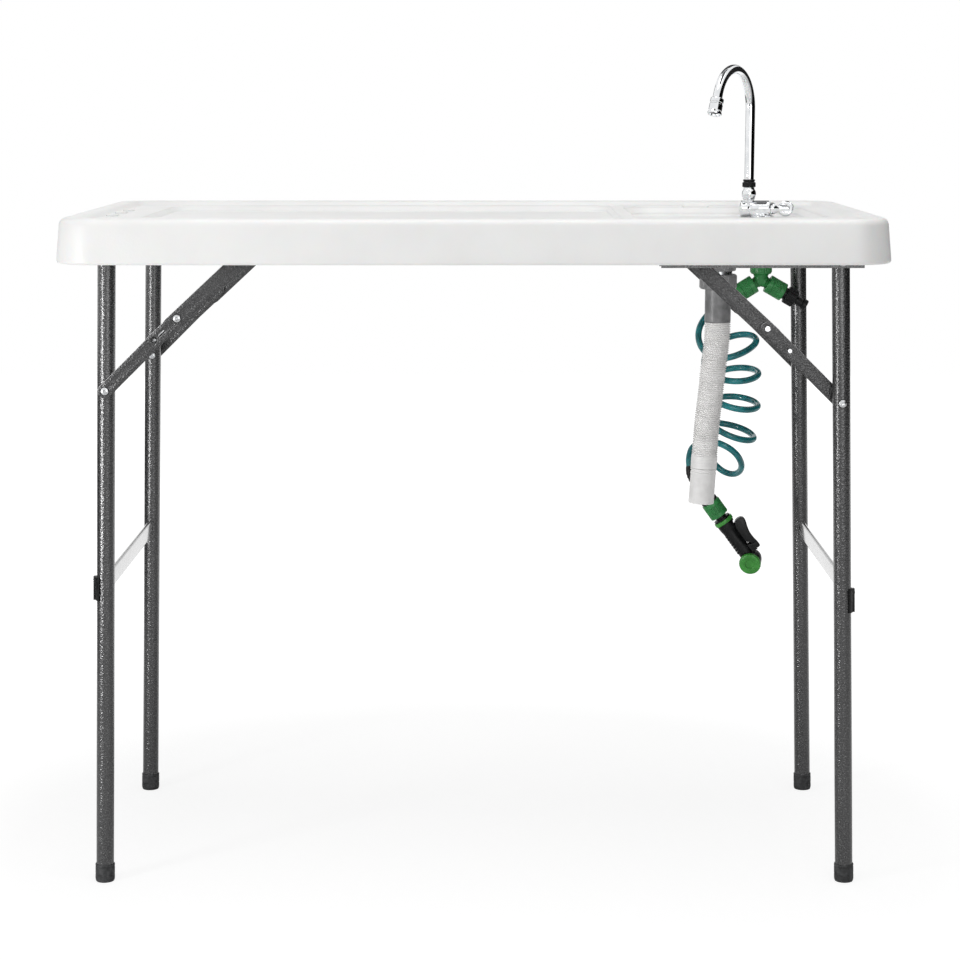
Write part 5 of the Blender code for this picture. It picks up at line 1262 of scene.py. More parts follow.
def make_leg_rivet(name, side, depth):
    out = brace_side(side, depth)
    far = -(LEG_RADIUS + GAP)
    near = rivet_head(HEAD_RADIUS, HEAD_HEIGHT, HEAD_OUT)
    back = turned_over(rivet_head(HEAD_RADIUS, HEAD_HEIGHT, far), far)
    profile = back + [(RIVET_RADIUS, far), (RIVET_RADIUS, HEAD_OUT)] + near
    at = leg_point(side, depth, BRACE_LEG_OFFSET)
    dress(turned(name + "_set", profile, at, BACKWARD * out, 36), name)
    # Near-black rings round both heads: painted shade
    for suffix, height, way in (("_seat", HEAD_OUT - GAP, out), ("_far_seat", -far, -out)):
        shade_ring = turned(name + suffix, rivet_shade_ring(height), at, BACKWARD * way, 36, True)
        dress(shade_ring, like=name, material=PAINTED_SHADE)


def make_pivot_bolt(name, side, depth):
    out = brace_side(side, depth)
    low = -(WALL_IN + SHEET + GAP)
    high = WALL_OUT + SHEET + GAP
    spacer = LEG_RADIUS + GAP
    head = rivet_head(BOLT_HEAD_RADIUS, BOLT_HEAD_HEIGHT, high, False)
    back = turned_over(rivet_head(BOLT_HEAD_RADIUS, BOLT_HEAD_HEIGHT, low, False), low)
    wide = BOLT_RADIUS + 0.0022
    shank = [(BOLT_RADIUS, low), (BOLT_RADIUS, spacer), (wide, spacer), (wide, WALL_OUT - GAP),
             (BOLT_RADIUS, WALL_OUT - GAP), (BOLT_RADIUS, high)]
    profile = back + shank + head
    dress(turned(name + "_set", profile, leg_pivot(side, depth), BACKWARD * out, 36), name)


def make_crossbar(name, side):
    along = (leg_pivot(side).z - CROSSBAR_Z) / math.cos(LEG_SPLAY)
    half = CROSSBAR_THICKNESS / 2
    outline = rounded_rectangle(CROSSBAR_HEIGHT / 2, half, half - 0.0003, (0, 0), 10)
    length = 2 * (LEG_Y - LEG_RADIUS - GAP)
    down = leg_down(side)
    across = BACKWARD.cross(down)
    turn = Matrix((down, across, down.cross(across))).transposed().to_4x4()
    place = Matrix.Translation(leg_point(side, 0, along)) @ turn
    rings = [(outline, length * (i / 12 - 0.5)) for i in range(13)]
    dress(loft(name + "_flat", rings, place, 60.0), name, material=BAR_ENAMEL)
    for depth in (-1, 1):
        bead_at = leg_point(side, depth, along) - BACKWARD * (depth * LEG_RADIUS)
        make_weld_bead(name, bead_at, -BACKWARD * depth)


def make_weld_bead(name, at, toward):
    """A bead of weld round a bar's end, drawn round and then stretched upward to the bar's shape."""
    ring = [(0.0055, -0.0006), (0.0060, 0.0004), (0.0052, 0.0016), (0.0035, 0.0021), (0.0030, 0.0)]
    bead = turned(name + "_weld_bead", ring, at, toward, 28, True)
    stretch = Matrix.Diagonal((1.0, 1.0, 2.2, 1.0))
    bead.data.transform(Matrix.Translation(at) @ stretch @ Matrix.Translation(-at))
    dress(bead, like=name, material=MATERIALS["hammertone_steel"])


def make_leg_clip(name, side):
    """A sprung clip on the outside of the front leg, with a small rivet and a pressed lip."""
    centre = leg_point(side, -1, CLIP_BELOW_PIVOT)
    out = Vector((side * math.cos(LEG_SPLAY), 0.0, math.sin(LEG_SPLAY)))
    down = leg_down(side)
    inner = LEG_RADIUS + GAP
    outline = arc((0.0, 0.0), inner, -58, 58, 32) + arc((0.0, 0.0), inner + 0.0020, 58, 14, 12)
    outline += [(inner + 0.0040, 0.0034), (inner + 0.0044, 0.0026), (inner + 0.0044, -0.0026),
                (inner + 0.0040, -0.0034)]
    outline += arc((0.0, 0.0), inner + 0.0020, -14, -58, 12)
    clip = plate(name + "_spring", [outline], CLIP_HEIGHT, centre, out, down.cross(out), 0.0004)
    dress(clip, name)
    head_at = centre - down * (CLIP_HEIGHT * 0.32) + out * (inner + 0.0043)
    dress(turned(name + "_rivet", [(0.0, 0.0)] + rivet_head(0.0026, 0.0010, 0.0, False), head_at, out, 24),
          like=name, material=ZINC)


def dress_rail(name, side, depth):
    """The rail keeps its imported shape. Screws hold its web to the table top, each with a washer."""
    rail = frame["nodes"][name]
    for slot in rail.material_slots:
        slot.material = MATERIALS["hammertone_steel"]
    inner, outer = sorted((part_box(name)[0][0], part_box(name)[1][0]))
    y = depth * LEG_Y + brace_side(side, depth) * (WALL_OUT - WALL_IN) / 2
    start = Vector((inner + SCREW_INSET, y, UNDERSIDE_Z - GAP - SHEET - SCREW_HEIGHT / 2))
    gap = (outer - inner - 2 * SCREW_INSET) / 2
    row(name + "_screws", name, 3, gap, SCREW_RADIUS, SCREW_HEIGHT, start, RIGHTWARD, BACKWARD, ZINC)
    row(name + "_washers", name, 3, gap, WASHER_RADIUS, WASHER_HEIGHT, start, RIGHTWARD, BACKWARD, ZINC)


for side_word, side_sign in SIDES.items():
    for depth_word, depth_sign in DEPTHS.items():
        corner = side_word + "_" + depth_word
        make_leg(corner + "_leg", side_sign, depth_sign)
        make_foot(corner + "_foot", side_sign, depth_sign)
        make_lower_link(corner + "_lower_link", side_sign, depth_sign)
        make_upper_link(corner + "_upper_link", side_sign, depth_sign)
        make_leg_rivet(corner + "_leg_rivet", side_sign, depth_sign)
        make_pivot_bolt(corner + "_pivot_bolt", side_sign, depth_sign)
        dress_rail(corner + "_rail", side_sign, depth_sign)
    make_crossbar(side_word + "_crossbar", side_sign)
    make_leg_clip(side_word + "_leg_clip", side_sign)


# Tap
TAP_BODY_RADIUS = 0.0125
TAP_BODY_LEFT = TAP.x - 0.0367
TAP_BODY_RIGHT = TAP.x + 0.0118
TAP_BASE_RADIUS = 0.019
TAP_BASE_HEIGHT = 0.003
TAP_AXIS_Z = LEDGE_Z + GAP + TAP_BASE_HEIGHT * 0.2 + TAP_BODY_RADIUS
SOCKET_NUT_HEIGHT = 0.022
SOCKET_TOP = TAP_AXIS_Z + TAP_BODY_RADIUS * 0.85 + SOCKET_NUT_HEIGHT
SOCKET_RADIUS = 0.0112
COLLAR_HEIGHT = 0.012
RISER = Vector((TAP.x - 0.0212, TAP.y, 0.0))
SPOUT_RADIUS = 0.0075
SPOUT_TURN = math.radians(58.6)
SPOUT_ARC = 0.0595
SPOUT_TOP = HEIGHT + 0.2115
SPOUT_END = math.radians(164.0)
SPOUT_HEADING = Vector((-math.cos(SPOUT_TURN), -math.sin(SPOUT_TURN), 0.0))
AERATOR_RADIUS = 0.0105
AERATOR_LENGTH = 0.026
HANDLE_REACH = 0.037
HANDLE_DISC = 0.0125


def make_tap_body():
    r, length = TAP_BODY_RADIUS, TAP_BODY_RIGHT - TAP_BODY_LEFT
    nose = []
    for degrees in range(0, 91, 10):
        turn = math.radians(degrees)
        nose.append((r * math.sin(turn), 0.0045 * (1 - math.cos(turn))))
    barrel = nose + [(r, 0.0150), (r * 0.985, 0.0153), (r * 0.93, 0.0155), (r * 0.93, 0.0163),
                     (r * 0.985, 0.0165), (r, 0.0168), (r, length - 0.0028), (r * 0.97, length - 0.0012),
                     (r * 0.90, length - 0.0002), (r * 0.85, length), (0.0, length)]
    body = turned("tap_barrel", barrel, (TAP_BODY_LEFT, TAP.y, TAP_AXIS_Z), RIGHTWARD, 96)
    b, h = TAP_BASE_RADIUS, TAP_BASE_HEIGHT
    foot = [(b - 0.0003, 0.0), (b, 0.0004), (b, 0.0012), (b * 0.97, 0.0018), (b * 0.88, h * 0.86),
            (b * 0.80, h), (r * 0.90, h + 0.0008), (r * 0.86, h + 0.0018), (r * 0.86, r * 0.9)]
    stand = turned("tap_stand", solid(foot), (TAP.x, TAP.y, LEDGE_Z + GAP), UP, 96)
    shank = rod("tap_shank", SHANK_RADIUS, SHANK_BOTTOM, LEDGE_Z + 0.003, (TAP.x, TAP.y, 0.0), UP)
    n, top = SOCKET_RADIUS, SOCKET_TOP - TAP_AXIS_Z
    dome = [(n * 0.72, 0.0), (n * 0.72, top - SOCKET_NUT_HEIGHT * 0.86),
            (n * 0.90, top - SOCKET_NUT_HEIGHT * 0.80)]
    for i in range(11):
        turn = math.radians(-70 + 14 * i)
        dome.append((n * (0.70 + 0.30 * math.cos(turn)),
                     top - SOCKET_NUT_HEIGHT * (0.45 - 0.32 * math.sin(turn))))
    dome += [(n * 0.74, top - 0.0008), (n * 0.72, top)]
    socket = turned("tap_socket", solid(dome), (RISER.x, TAP.y, TAP_AXIS_Z), UP, 96)
    carve(body, stand, shank, socket, operation="UNION")
    pocket = rod("tap_pocket", 0.0063, SOCKET_TOP - 0.0115, SOCKET_TOP + 0.004, (RISER.x, TAP.y, 0.0), UP)
    carve(body, pocket)
    dress(body, "tap_body")


def make_backnut():
    """The ribbed plastic nut that holds the tap under the deck."""
    at = (TAP.x, TAP.y, UNDERSIDE_Z - GAP - 0.0095)
    bore = SHANK_RADIUS + GAP
    outer = [(bore, 0.0), (0.0162, 0.0), (0.0170, 0.0008), (0.0170, 0.0068), (0.0190, 0.0074),
             (0.0190, 0.0092), (0.0186, 0.0095), (bore, 0.0095)]
    dress(turned("tap_backnut", outer, at, UP, 64, True), "tap_locknut")
    ribs("tap_backnut_wings", "tap_locknut", 8, 0.0166, 0.0016, 0.0008, 0.0062, at, UP)


def make_spout_nut():
    """The black nut that holds the spout in its socket: a knurled lower part and a plain ring."""
    r, h = 0.0102, COLLAR_HEIGHT
    bore = SPOUT_RADIUS + GAP
    at = (RISER.x, TAP.y, SOCKET_TOP + GAP)
    outer = [(bore, 0.0), (r * 0.90, 0.0), (r * 0.96, 0.0006), (r * 0.96, h * 0.58), (r * 0.90, h * 0.64),
             (r * 0.84, h * 0.70), (r * 0.84, h * 0.78), (r * 0.92, h * 0.84), (r * 0.92, h * 0.95),
             (r * 0.87, h), (bore, h)]
    dress(turned("spout_nut", outer, at, UP, 72, True), "spout_collar", material=BLACK_PLASTIC)
    knurl = ribs("spout_nut_knurl", "spout_collar", 26, r * 0.95, 0.0007, 0.0008, h * 0.54, at, UP)
    dress(knurl, like="spout_collar", material=BLACK_PLASTIC)


def spout_point(angle):
    centre = Vector((RISER.x, TAP.y, SPOUT_TOP - SPOUT_RADIUS - SPOUT_ARC)) + SPOUT_HEADING * SPOUT_ARC
    return centre - SPOUT_HEADING * (math.cos(angle) * SPOUT_ARC) + UP * (math.sin(angle) * SPOUT_ARC)


def make_spout():
    foot = Vector((RISER.x, TAP.y, SOCKET_TOP + 2 * GAP))
    points = [foot - UP * 0.0090, foot]
    rise = spout_point(0.0)
    points += [foot.lerp(rise, i / 6) for i in range(1, 6)]
    points += [spout_point(SPOUT_END * i / 40) for i in range(41)]
    radii = [0.0060] + [SPOUT_RADIUS] * (len(points) - 1)
    radii[1] = SPOUT_RADIUS * 0.99
    dress(pipe("swan_neck", points, SPOUT_RADIUS, radii, 14), "spout")
    end = spout_point(SPOUT_END)
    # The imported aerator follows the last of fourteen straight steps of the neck, and this one lies along it
    ahead = (end - spout_point(SPOUT_END * 13 / 14)).normalized()
    r, length = AERATOR_RADIUS, AERATOR_LENGTH
    outer = [(0.0, 0.0), (r * 0.78, 0.0), (r * 0.90, 0.0005), (r * 0.98, 0.0014), (r, 0.0026),
             (r, 0.0074), (r * 0.97, 0.0078), (r * 0.90, 0.0080), (r * 0.90, 0.0100), (r * 0.97, 0.0103),
             (r, 0.0108), (r, length - 0.0058), (r * 0.95, length - 0.0052), (r * 0.97, length - 0.0042),
             (r * 1.05, length - 0.0030), (r * 1.06, length - 0.0014), (r * 1.02, length - 0.0003),
             (r * 0.92, length), (r * 0.80, length - 0.0006), (r * 0.76, length - 0.0030),
             (r * 0.70, length - 0.0040), (r * 0.30, length - 0.0044), (0.0, length - 0.0044)]
    dress(turned("spout_aerator", outer, end + ahead * GAP, ahead, 72), "aerator")
    # The screen is drawn near-black: painted shade inside the aerator's mouth
    screen = turned("aerator_screen", solid([(r * 0.68, length - 0.0040), (r * 0.66, length - 0.0034)]),
                    end + ahead * GAP, ahead, 48)
    dress(screen, like="aerator", material=PAINTED_SHADE)
    ribs("aerator_screen_bars", "aerator", 12, r * 0.44, 0.0006, length - 0.0040, 0.0008,
         end + ahead * GAP, ahead)


def make_tap_handle():
    """The lever: a hub on the body's end, a neck that flares, and a round dished end."""
    hub_at = Vector((TAP_BODY_RIGHT + GAP, TAP.y, TAP_AXIS_Z))
    r, disc = TAP_BODY_RADIUS, HANDLE_DISC
    hub = [(r * 0.66, 0.0), (r * 0.72, 0.0006), (r * 0.74, 0.0018), (r * 0.74, 0.0040), (r * 0.71, 0.0062),
           (r * 0.64, 0.0080), (r * 0.56, 0.0098), (r * 0.49, 0.0120), (r * 0.46, 0.0150),
           (r * 0.46, HANDLE_REACH - disc * 0.7)]
    handle = turned("tap_lever", solid(hub), hub_at, RIGHTWARD, 72)
    dish = [(0.0, -0.0045), (disc * 0.66, -0.0045), (disc * 0.80, -0.0041), (disc * 0.92, -0.0031),
            (disc * 0.98, -0.0016), (disc, 0.0), (disc * 0.98, 0.0016), (disc * 0.92, 0.0031),
            (disc * 0.80, 0.0040), (disc * 0.66, 0.0042), (disc * 0.52, 0.0038), (disc * 0.40, 0.0028),
            (disc * 0.22, 0.0021), (0.0, 0.0018)]
    end = turned("lever_end", dish, hub_at + RIGHTWARD * (HANDLE_REACH - disc), (-0.25, -1.0, 0.35), 72)
    carve(handle, end, operation="UNION")
    dress(handle, "tap_handle")


make_tap_body()
make_backnut()
make_spout_nut()
make_spout()
make_tap_handle()


# Drain fittings under the basin
FLANGE_NUT_TOP = BASIN_UNDERSIDE - GAP
FLANGE_NUT_HEIGHT = 0.013
FLANGE_NUT_RADIUS = 0.0256
COUPLING_HEIGHT = 0.022
COUPLING_RADIUS = 0.0270
COUPLING_BOTTOM = FLANGE_NUT_TOP - FLANGE_NUT_HEIGHT - 0.005 - COUPLING_HEIGHT
NECK_BOTTOM = BASIN_UNDERSIDE - 0.022
TAILPIECE_RADIUS = 0.0193
DRAIN_BORE = 0.0150
STRAINER_RADIUS = 0.040
STRAINER_HOLE = 0.0014
STRAINER_RINGS = ((1, 0.0), (6, 0.0048), (12, 0.0098))


def ring_nut(name, node, radius, height, chamfer, bore, z, rib_count, rib_radius, rib_depth=0.0):
    """A moulded ring nut with rounded corners and grip ribs."""
    c = chamfer
    outer = [(bore, 0.0), (radius - c, 0.0), (radius - c * 0.3, c * 0.3), (radius, c), (radius, height - c),
             (radius - c * 0.3, height - c * 0.3), (radius - c, height), (bore, height)]
    at = (BASIN_X, 0.0, z)
    dress(turned(name, outer, at, UP, 96, True), node)
    ribs(name + "_grip", node, rib_count, radius - rib_depth, rib_radius, c, height - 2 * c, at, UP)


def make_drain_fittings():
    threaded = DRAIN_NECK + GAP
    ring_nut("drain_backnut", "drain_flange_nut", FLANGE_NUT_RADIUS, FLANGE_NUT_HEIGHT, 0.0011, threaded,
             FLANGE_NUT_TOP - FLANGE_NUT_HEIGHT, 24, 0.0011, 0.0006)
    ring_nut("drain_slip_nut", "drain_coupling", COUPLING_RADIUS, COUPLING_HEIGHT, 0.0022, threaded,
             COUPLING_BOTTOM, 12, 0.0028, 0.0020)
    narrow = TAILPIECE_RADIUS - 0.0018
    top = NECK_BOTTOM - GAP
    r, shoulder = TAILPIECE_RADIUS, COUPLING_BOTTOM - GAP
    outer = [(DRAIN_BORE, TAILPIECE_BOTTOM), (r - 0.0006, TAILPIECE_BOTTOM), (r, TAILPIECE_BOTTOM + 0.0008),
             (r, shoulder - 0.0006), (r - 0.0006, shoulder), (narrow, shoulder), (narrow, top),
             (DRAIN_BORE, top)]
    dress(turned("drain_pipe", outer, (BASIN_X, 0.0, 0.0), UP, 96, True), "drain_tailpiece")
    neck, low, high = DRAIN_NECK - 0.001, NECK_BOTTOM, NECK_BOTTOM + 0.001
    seal = [(DRAIN_BORE, low), (neck, low), (neck, high), (DRAIN_BORE, high)]
    collar = turned("drain_seal", seal, (BASIN_X, 0.0, 0.0), UP, 64, True)
    dress(collar, like="drain_tailpiece", material=MATERIALS["black_rubber"])


def make_strainer():
    """A dished steel strainer with a drilled hole in the middle and two rings of holes round it."""
    z = BASIN_FLOOR + GAP
    r, neck, bottom = STRAINER_RADIUS, DRAIN_NECK, NECK_BOTTOM - BASIN_FLOOR - GAP
    points = [(0.0, -0.0045), (neck - 0.0055, -0.0045), (neck - 0.0035, -0.0040), (neck - 0.0020, -0.0015),
              (neck + 0.0005, 0.0008), (neck + 0.0030, 0.0016), (r - 0.0025, 0.0015), (r - 0.0008, 0.0011),
              (r - 0.0001, 0.0005), (r, 0.0), (neck, 0.0), (neck, bottom), (neck - 0.003, bottom),
              (neck - 0.004, -0.006), (0.0, -0.006)]
    strainer = turned("basin_strainer", points, (BASIN_X, 0.0, z), UP, 96)
    tools = []
    for count, ring_radius in STRAINER_RINGS:
        for index in range(count):
            turn = math.tau * index / count
            at = (BASIN_X + ring_radius * math.cos(turn), ring_radius * math.sin(turn), z)
            tools.append(rod("hole", STRAINER_HOLE, -0.008, 0.002, at, UP, 16))
    carve(strainer, *tools)
    dress(strainer, "drain_strainer")


make_drain_fittings()
make_strainer()


# Splitter, its gripping sleeves and the adapter
def make_splitter():
    height = SHANK_BOTTOM - GAP - COLLAR_BOTTOM
    r, b = 0.0165, 0.0105
    collar = [(b, -0.004), (r - 0.0042, -0.0004), (r - 0.0020, 0.0004), (r - 0.0005, 0.0014), (r, 0.0030),
              (r, height - 0.0012), (r - 0.0004, height - 0.0003), (r - 0.0012, height)]
    body = turned("splitter_yoke", solid(collar), (TAP.x, TAP.y, COLLAR_BOTTOM), UP, 72)
    stem = [(b * 0.5, -0.0075), (b * 0.8, -0.005), (b, 0.0), (b, COLLAR_BOTTOM - SPLITTER.z)]
    tools = [turned("stem", solid(stem), SPLITTER, UP, 72)]
    for side in (-1, 1):
        arm = [(b * 0.9, 0.0), (b * 0.9, SLEEVE_START - 0.0045), (b * 0.84, SLEEVE_START - 0.0036),
               (0.0085, SLEEVE_START - 0.0028), (0.0085, ARM_REACH)]
        tools.append(turned("arm", solid(arm), SPLITTER, arm_heading(side), 64))
    carve(body, *tools, operation="UNION")
    dress(body, "splitter_body")
    ribs("splitter_collar_grip", "splitter_body", 26, r - 0.0002, 0.0009, 0.0034, height - 0.0060,
         (TAP.x, TAP.y, COLLAR_BOTTOM), UP)


def make_sleeve(name, node, at, heading, radius, length, bore):
    """A gripping sleeve: a plain band at each end, and fine ribs sunk between them."""
    r = radius
    outer = [(bore, 0.0), (r - 0.0016, 0.0), (r - 0.0006, 0.0003), (r - 0.0001, 0.0010), (r, 0.0020),
             (r, length * 0.26), (r - 0.0008, length * 0.29), (r - 0.0008, length * 0.72),
             (r, length * 0.75), (r, length - 0.0020), (r - 0.0001, length - 0.0010),
             (r - 0.0006, length - 0.0003), (r - 0.0016, length), (bore, length)]
    dress(turned(name, outer, at, heading, 72, True), node)
    ribs(name + "_grip", node, 34, r - 0.0009, 0.0008, length * 0.29, length * 0.43, at, heading)


def make_adapter():
    """The tap adapter: a plug, a ribbed nut, a neck with a barb and an end ring."""
    heading = arm_heading(1)
    nut = SLEEVE_END + 0.0006 - PLUG_START
    r, n, neck = SLEEVE_BORE - GAP, 0.0138, 0.0070
    top, end = nut + 0.017, 0.052
    outer = [(neck - 0.0025, 0.0), (r, 0.0), (r, nut), (n - 0.0014, nut), (n - 0.0006, nut + 0.0003),
             (n - 0.0004, nut + 0.001), (n - 0.0004, top - 0.0012), (n - 0.0010, top - 0.0004),
             (n - 0.0026, top), (neck + 0.0010, top + 0.0004), (neck, top + 0.0014),
             (neck, end - 0.0088), (neck + 0.0006, end - 0.0080), (neck + 0.0016, end - 0.0072),
             (neck + 0.0018, end - 0.0066), (neck + 0.0018, end - 0.0008), (neck + 0.0014, end - 0.0002),
             (neck + 0.0008, end), (neck - 0.0020, end), (neck - 0.0025, end - 0.0006)]
    at = SPLITTER + heading * PLUG_START
    dress(turned("hose_adapter_body", outer, at, heading, 64, True), "hose_adapter")
    ribs("hose_adapter_grip", "hose_adapter", 18, n - 0.0006, 0.0010, nut + 0.001, 0.0145, at, heading)


make_splitter()
for side_word, side_sign in SIDES.items():
    arm = arm_heading(side_sign)
    make_sleeve(side_word + "_quick_sleeve", side_word + "_sleeve", SPLITTER + arm * SLEEVE_START, arm,
                SLEEVE_RADIUS, SLEEVE_LENGTH, SLEEVE_BORE)
make_adapter()


# Spray gun
GUN_SLEEVE_RADIUS = 0.0150
GUN_SLEEVE_LENGTH = 0.0300
GUN_RING_LENGTH = 0.0060
GRIP_START = GUN_SLEEVE_LENGTH + 0.0050 + GUN_RING_LENGTH + GAP
GRIP_LENGTH = 0.0740
HEAD = GUN + GUN_HEADING * (GRIP_START + GRIP_LENGTH - 0.002)
HEAD_AXIS = Vector((-0.22, -0.95, -0.22)).normalized()
HEAD_BARREL = 0.0165
HEAD_LENGTH = 0.0300
DIAL_RADIUS = 0.0168
DIAL_THICKNESS = 0.0070
TRIGGER_THICKNESS = 0.0140
TRIGGER_PIVOT = joint_place("gun_trigger_pull")


def gun_point(along, out=0.0):
    return GUN + GUN_HEADING * along + GUN_SIDE * out


def swell(share, stops):
    """A smooth value along the grip, read between (share, value) stops."""
    for (low, a), (high, b) in zip(stops, stops[1:]):
        if share <= high:
            t = (share - low) / (high - low)
            return a + (b - a) * (t * t * (3 - 2 * t))
    return stops[-1][1]


def make_gun_couplings():
    spigot = [(0.0085, 0.0), (0.0085, GUN_SLEEVE_LENGTH + 0.0020), (0.0135, GUN_SLEEVE_LENGTH + 0.0022),
              (0.0135, GUN_SLEEVE_LENGTH + 0.0044), (0.0085, GUN_SLEEVE_LENGTH + 0.0045)]
    dress(turned("gun_spigot", solid(spigot), GUN, GUN_HEADING, 64), "gun_connector")
    make_sleeve("gun_quick_sleeve", "gun_sleeve", gun_point(0.0010), GUN_HEADING, GUN_SLEEVE_RADIUS,
                GUN_SLEEVE_LENGTH - SLEEVE_TRAVEL, 0.0085 + GAP)
    r, length = GUN_SLEEVE_RADIUS + 0.0005, GUN_RING_LENGTH
    ring = [(0.0070, 0.0), (r - 0.0008, 0.0), (r - 0.0002, 0.0004), (r, 0.0012), (r, length - 0.0012),
            (r - 0.0002, length - 0.0004), (r - 0.0008, length), (0.0070, length)]
    dress(turned("gun_lime_ring", ring, gun_point(GUN_SLEEVE_LENGTH + 0.0050), GUN_HEADING, 72, True),
          "gun_ring")


# The grip's half width, half depth and sideways shift at shares of its length
GRIP_WIDE = ((0.0, 0.0140), (0.10, 0.0136), (0.24, 0.0118), (0.60, 0.0114), (0.81, 0.0122), (1.0, 0.0130))
GRIP_DEEP = ((0.0, 0.0138), (0.20, 0.0124), (0.60, 0.0125), (0.81, 0.0130), (1.0, 0.0130))
GRIP_LEAN = ((0.0, 0.0), (0.10, -0.0002), (0.30, -0.0010), (0.60, 0.0), (1.0, 0.0))
GRIP_SIDES = 48
GRIP_RINGS = 32
TRIGGER_ROOM = TRIGGER_THICKNESS / 2 + GAP


def grip_place():
    """The place of a shape whose own Z runs along the grip and whose X points to the lever's side."""
    turn = Matrix((GUN_SIDE, GUN_HEADING.cross(GUN_SIDE), GUN_HEADING)).transposed().to_4x4()
    return Matrix.Translation(gun_point(GRIP_START)) @ turn


def gun_grip():
    rings = []
    for i in range(GRIP_RINGS + 1):
        share = i / GRIP_RINGS
        wide, deep, shift = (swell(share, stops) for stops in (GRIP_WIDE, GRIP_DEEP, GRIP_LEAN))
        turns = [math.tau * k / GRIP_SIDES for k in range(GRIP_SIDES)]
        rings.append(([(wide * math.cos(t) + shift, deep * math.sin(t)) for t in turns],
                      GRIP_LENGTH * share))
    return loft("gun_grip", rings, grip_place(), 50.0)


def gun_barrel():
    r, length = HEAD_BARREL, HEAD_LENGTH
    back = []
    for degrees in range(0, 91, 15):
        turn = math.radians(degrees)
        back.append((r * 0.85 * math.sin(turn), -length * (0.34 + 0.06 * math.cos(turn))))
    profile = back + [(r * 0.92, -0.24 * length), (r * 0.96, -0.10 * length), (r, 0.35 * length),
                      (r * 0.98, 0.43 * length), (r * 0.92, 0.50 * length), (0.0, 0.50 * length)]
    return turned("barrel", profile, HEAD, HEAD_AXIS, 72)


def trigger_ear(depth):
    at = gun_point(GRIP_START + GRIP_LENGTH - 0.018) + BACKWARD * (depth * (TRIGGER_ROOM + 0.0010))
    outline = arc((0.0195, 0.0), 0.0042, -90, 90, 14) + [(0.004, 0.010), (0.004, -0.009)]
    return plate("ear", [outline], 0.0020, at, GUN_SIDE, GUN_HEADING, 0.0003)


def make_gun_body():
    """The grip swells to the palm and thins to the head. A slot in it takes the lever, the barrel crosses its
    end, and two ears carry the pin on which the lever turns."""
    body = gun_grip()
    slot = rounded_rectangle(0.014, TRIGGER_ROOM, 0.002, (0.0130, 0.0), 4)
    carve(body, loft("slot", [(slot, 0.0035), (slot, 0.0475)], grip_place()))
    pin = TRIGGER_ROOM + 0.0016
    carve(body, gun_barrel(), trigger_ear(-1), trigger_ear(1),
          rod("pin", 0.0020, -pin, pin, TRIGGER_PIVOT, BACKWARD, 24), operation="UNION")
    dress(body, "gun_body")
    row("gun_grip_ribs", "gun_body", 7, 0.0052, 0.0011, 0.0150, gun_point(GRIP_START + 0.020, -0.0118),
        GUN_HEADING, -GUN_SIDE)


def make_gun_dial():
    at = HEAD + HEAD_AXIS * (0.5 * HEAD_LENGTH + GAP)
    r, t = DIAL_RADIUS, DIAL_THICKNESS
    face = [(r * 0.78, 0.0), (r * 0.95, 0.0002), (r, 0.0010), (r, t * 0.55), (r * 0.985, t * 0.74),
            (r * 0.93, t * 0.90), (r * 0.84, t * 0.98), (r * 0.74, t), (r * 0.48, t),
            (r * 0.43, t * 0.94), (r * 0.40, t * 0.74), (0.0, t * 0.70)]
    dress(turned("spray_dial", [(0.0, 0.0)] + face, at, HEAD_AXIS, 96), "gun_dial")
    ribs("spray_dial_grip", "gun_dial", 28, r - 0.0006, 0.0009, 0.0008, t * 0.5, at, HEAD_AXIS)
    ribs("spray_dial_jets", "gun_dial", 8, r * 0.60, 0.0012, t - 0.0002, 0.0007, at, HEAD_AXIS)


# The lever's outline about its pivot, as (along the lever, out from the grip)
LEVER_OUTLINE = [
    (-0.0050, -0.0036), (0.0, -0.0046), (0.0060, -0.0052), (0.0100, -0.0072), (0.0130, -0.0104),
    (0.0220, -0.0112), (0.0340, -0.0112), (0.0430, -0.0100), (0.0480, -0.0062), (0.0500, -0.0005),
    (0.0488, 0.0056), (0.0450, 0.0088), (0.0400, 0.0084), (0.0310, 0.0054), (0.0210, 0.0034),
    (0.0100, 0.0034), (0.0, 0.0047), (-0.0050, 0.0038),
]
LEVER_BORE = 0.0023
LEVER_STEP = 0.0012


def flat(points):
    """Points in a plane as vectors in space."""
    return [Vector((x, y, 0.0)) for x, y in points]


def make_gun_trigger():
    """The lever. Its outline is smoothed on past where it started, and one round of it is kept."""
    beyond = flat(LEVER_OUTLINE + LEVER_OUTLINE[:3])
    once = flat(LEVER_OUTLINE + LEVER_OUTLINE[:1])
    curved = smooth_through(beyond, LEVER_STEP)
    count = round(len(curved) * path_length(once) / path_length(beyond))
    outlines = [[(point.x, point.y) for point in curved[:count]], circle((0.0, 0.0), LEVER_BORE)]
    lever = plate("gun_lever", outlines, TRIGGER_THICKNESS, TRIGGER_PIVOT, -GUN_HEADING, GUN_SIDE, 0.0012)
    dress(lever, "gun_trigger")


make_gun_couplings()
make_gun_body()
make_gun_dial()
make_gun_trigger()


# Floor, light and background
FLOOR_REACH = 6.0
FLOOR_Z = -0.0004
SOFT_LIGHT = 0.34


def sheet(name, half_x, half_y, z=0.0):
    """A flat rectangle, as a mesh."""
    mesh = bpy.data.meshes.new(name)
    corners = [(-half_x, -half_y, z), (half_x, -half_y, z), (half_x, half_y, z), (-half_x, half_y, z)]
    mesh.from_pydata(corners, [], [(0, 1, 2, 3)])
    return mesh


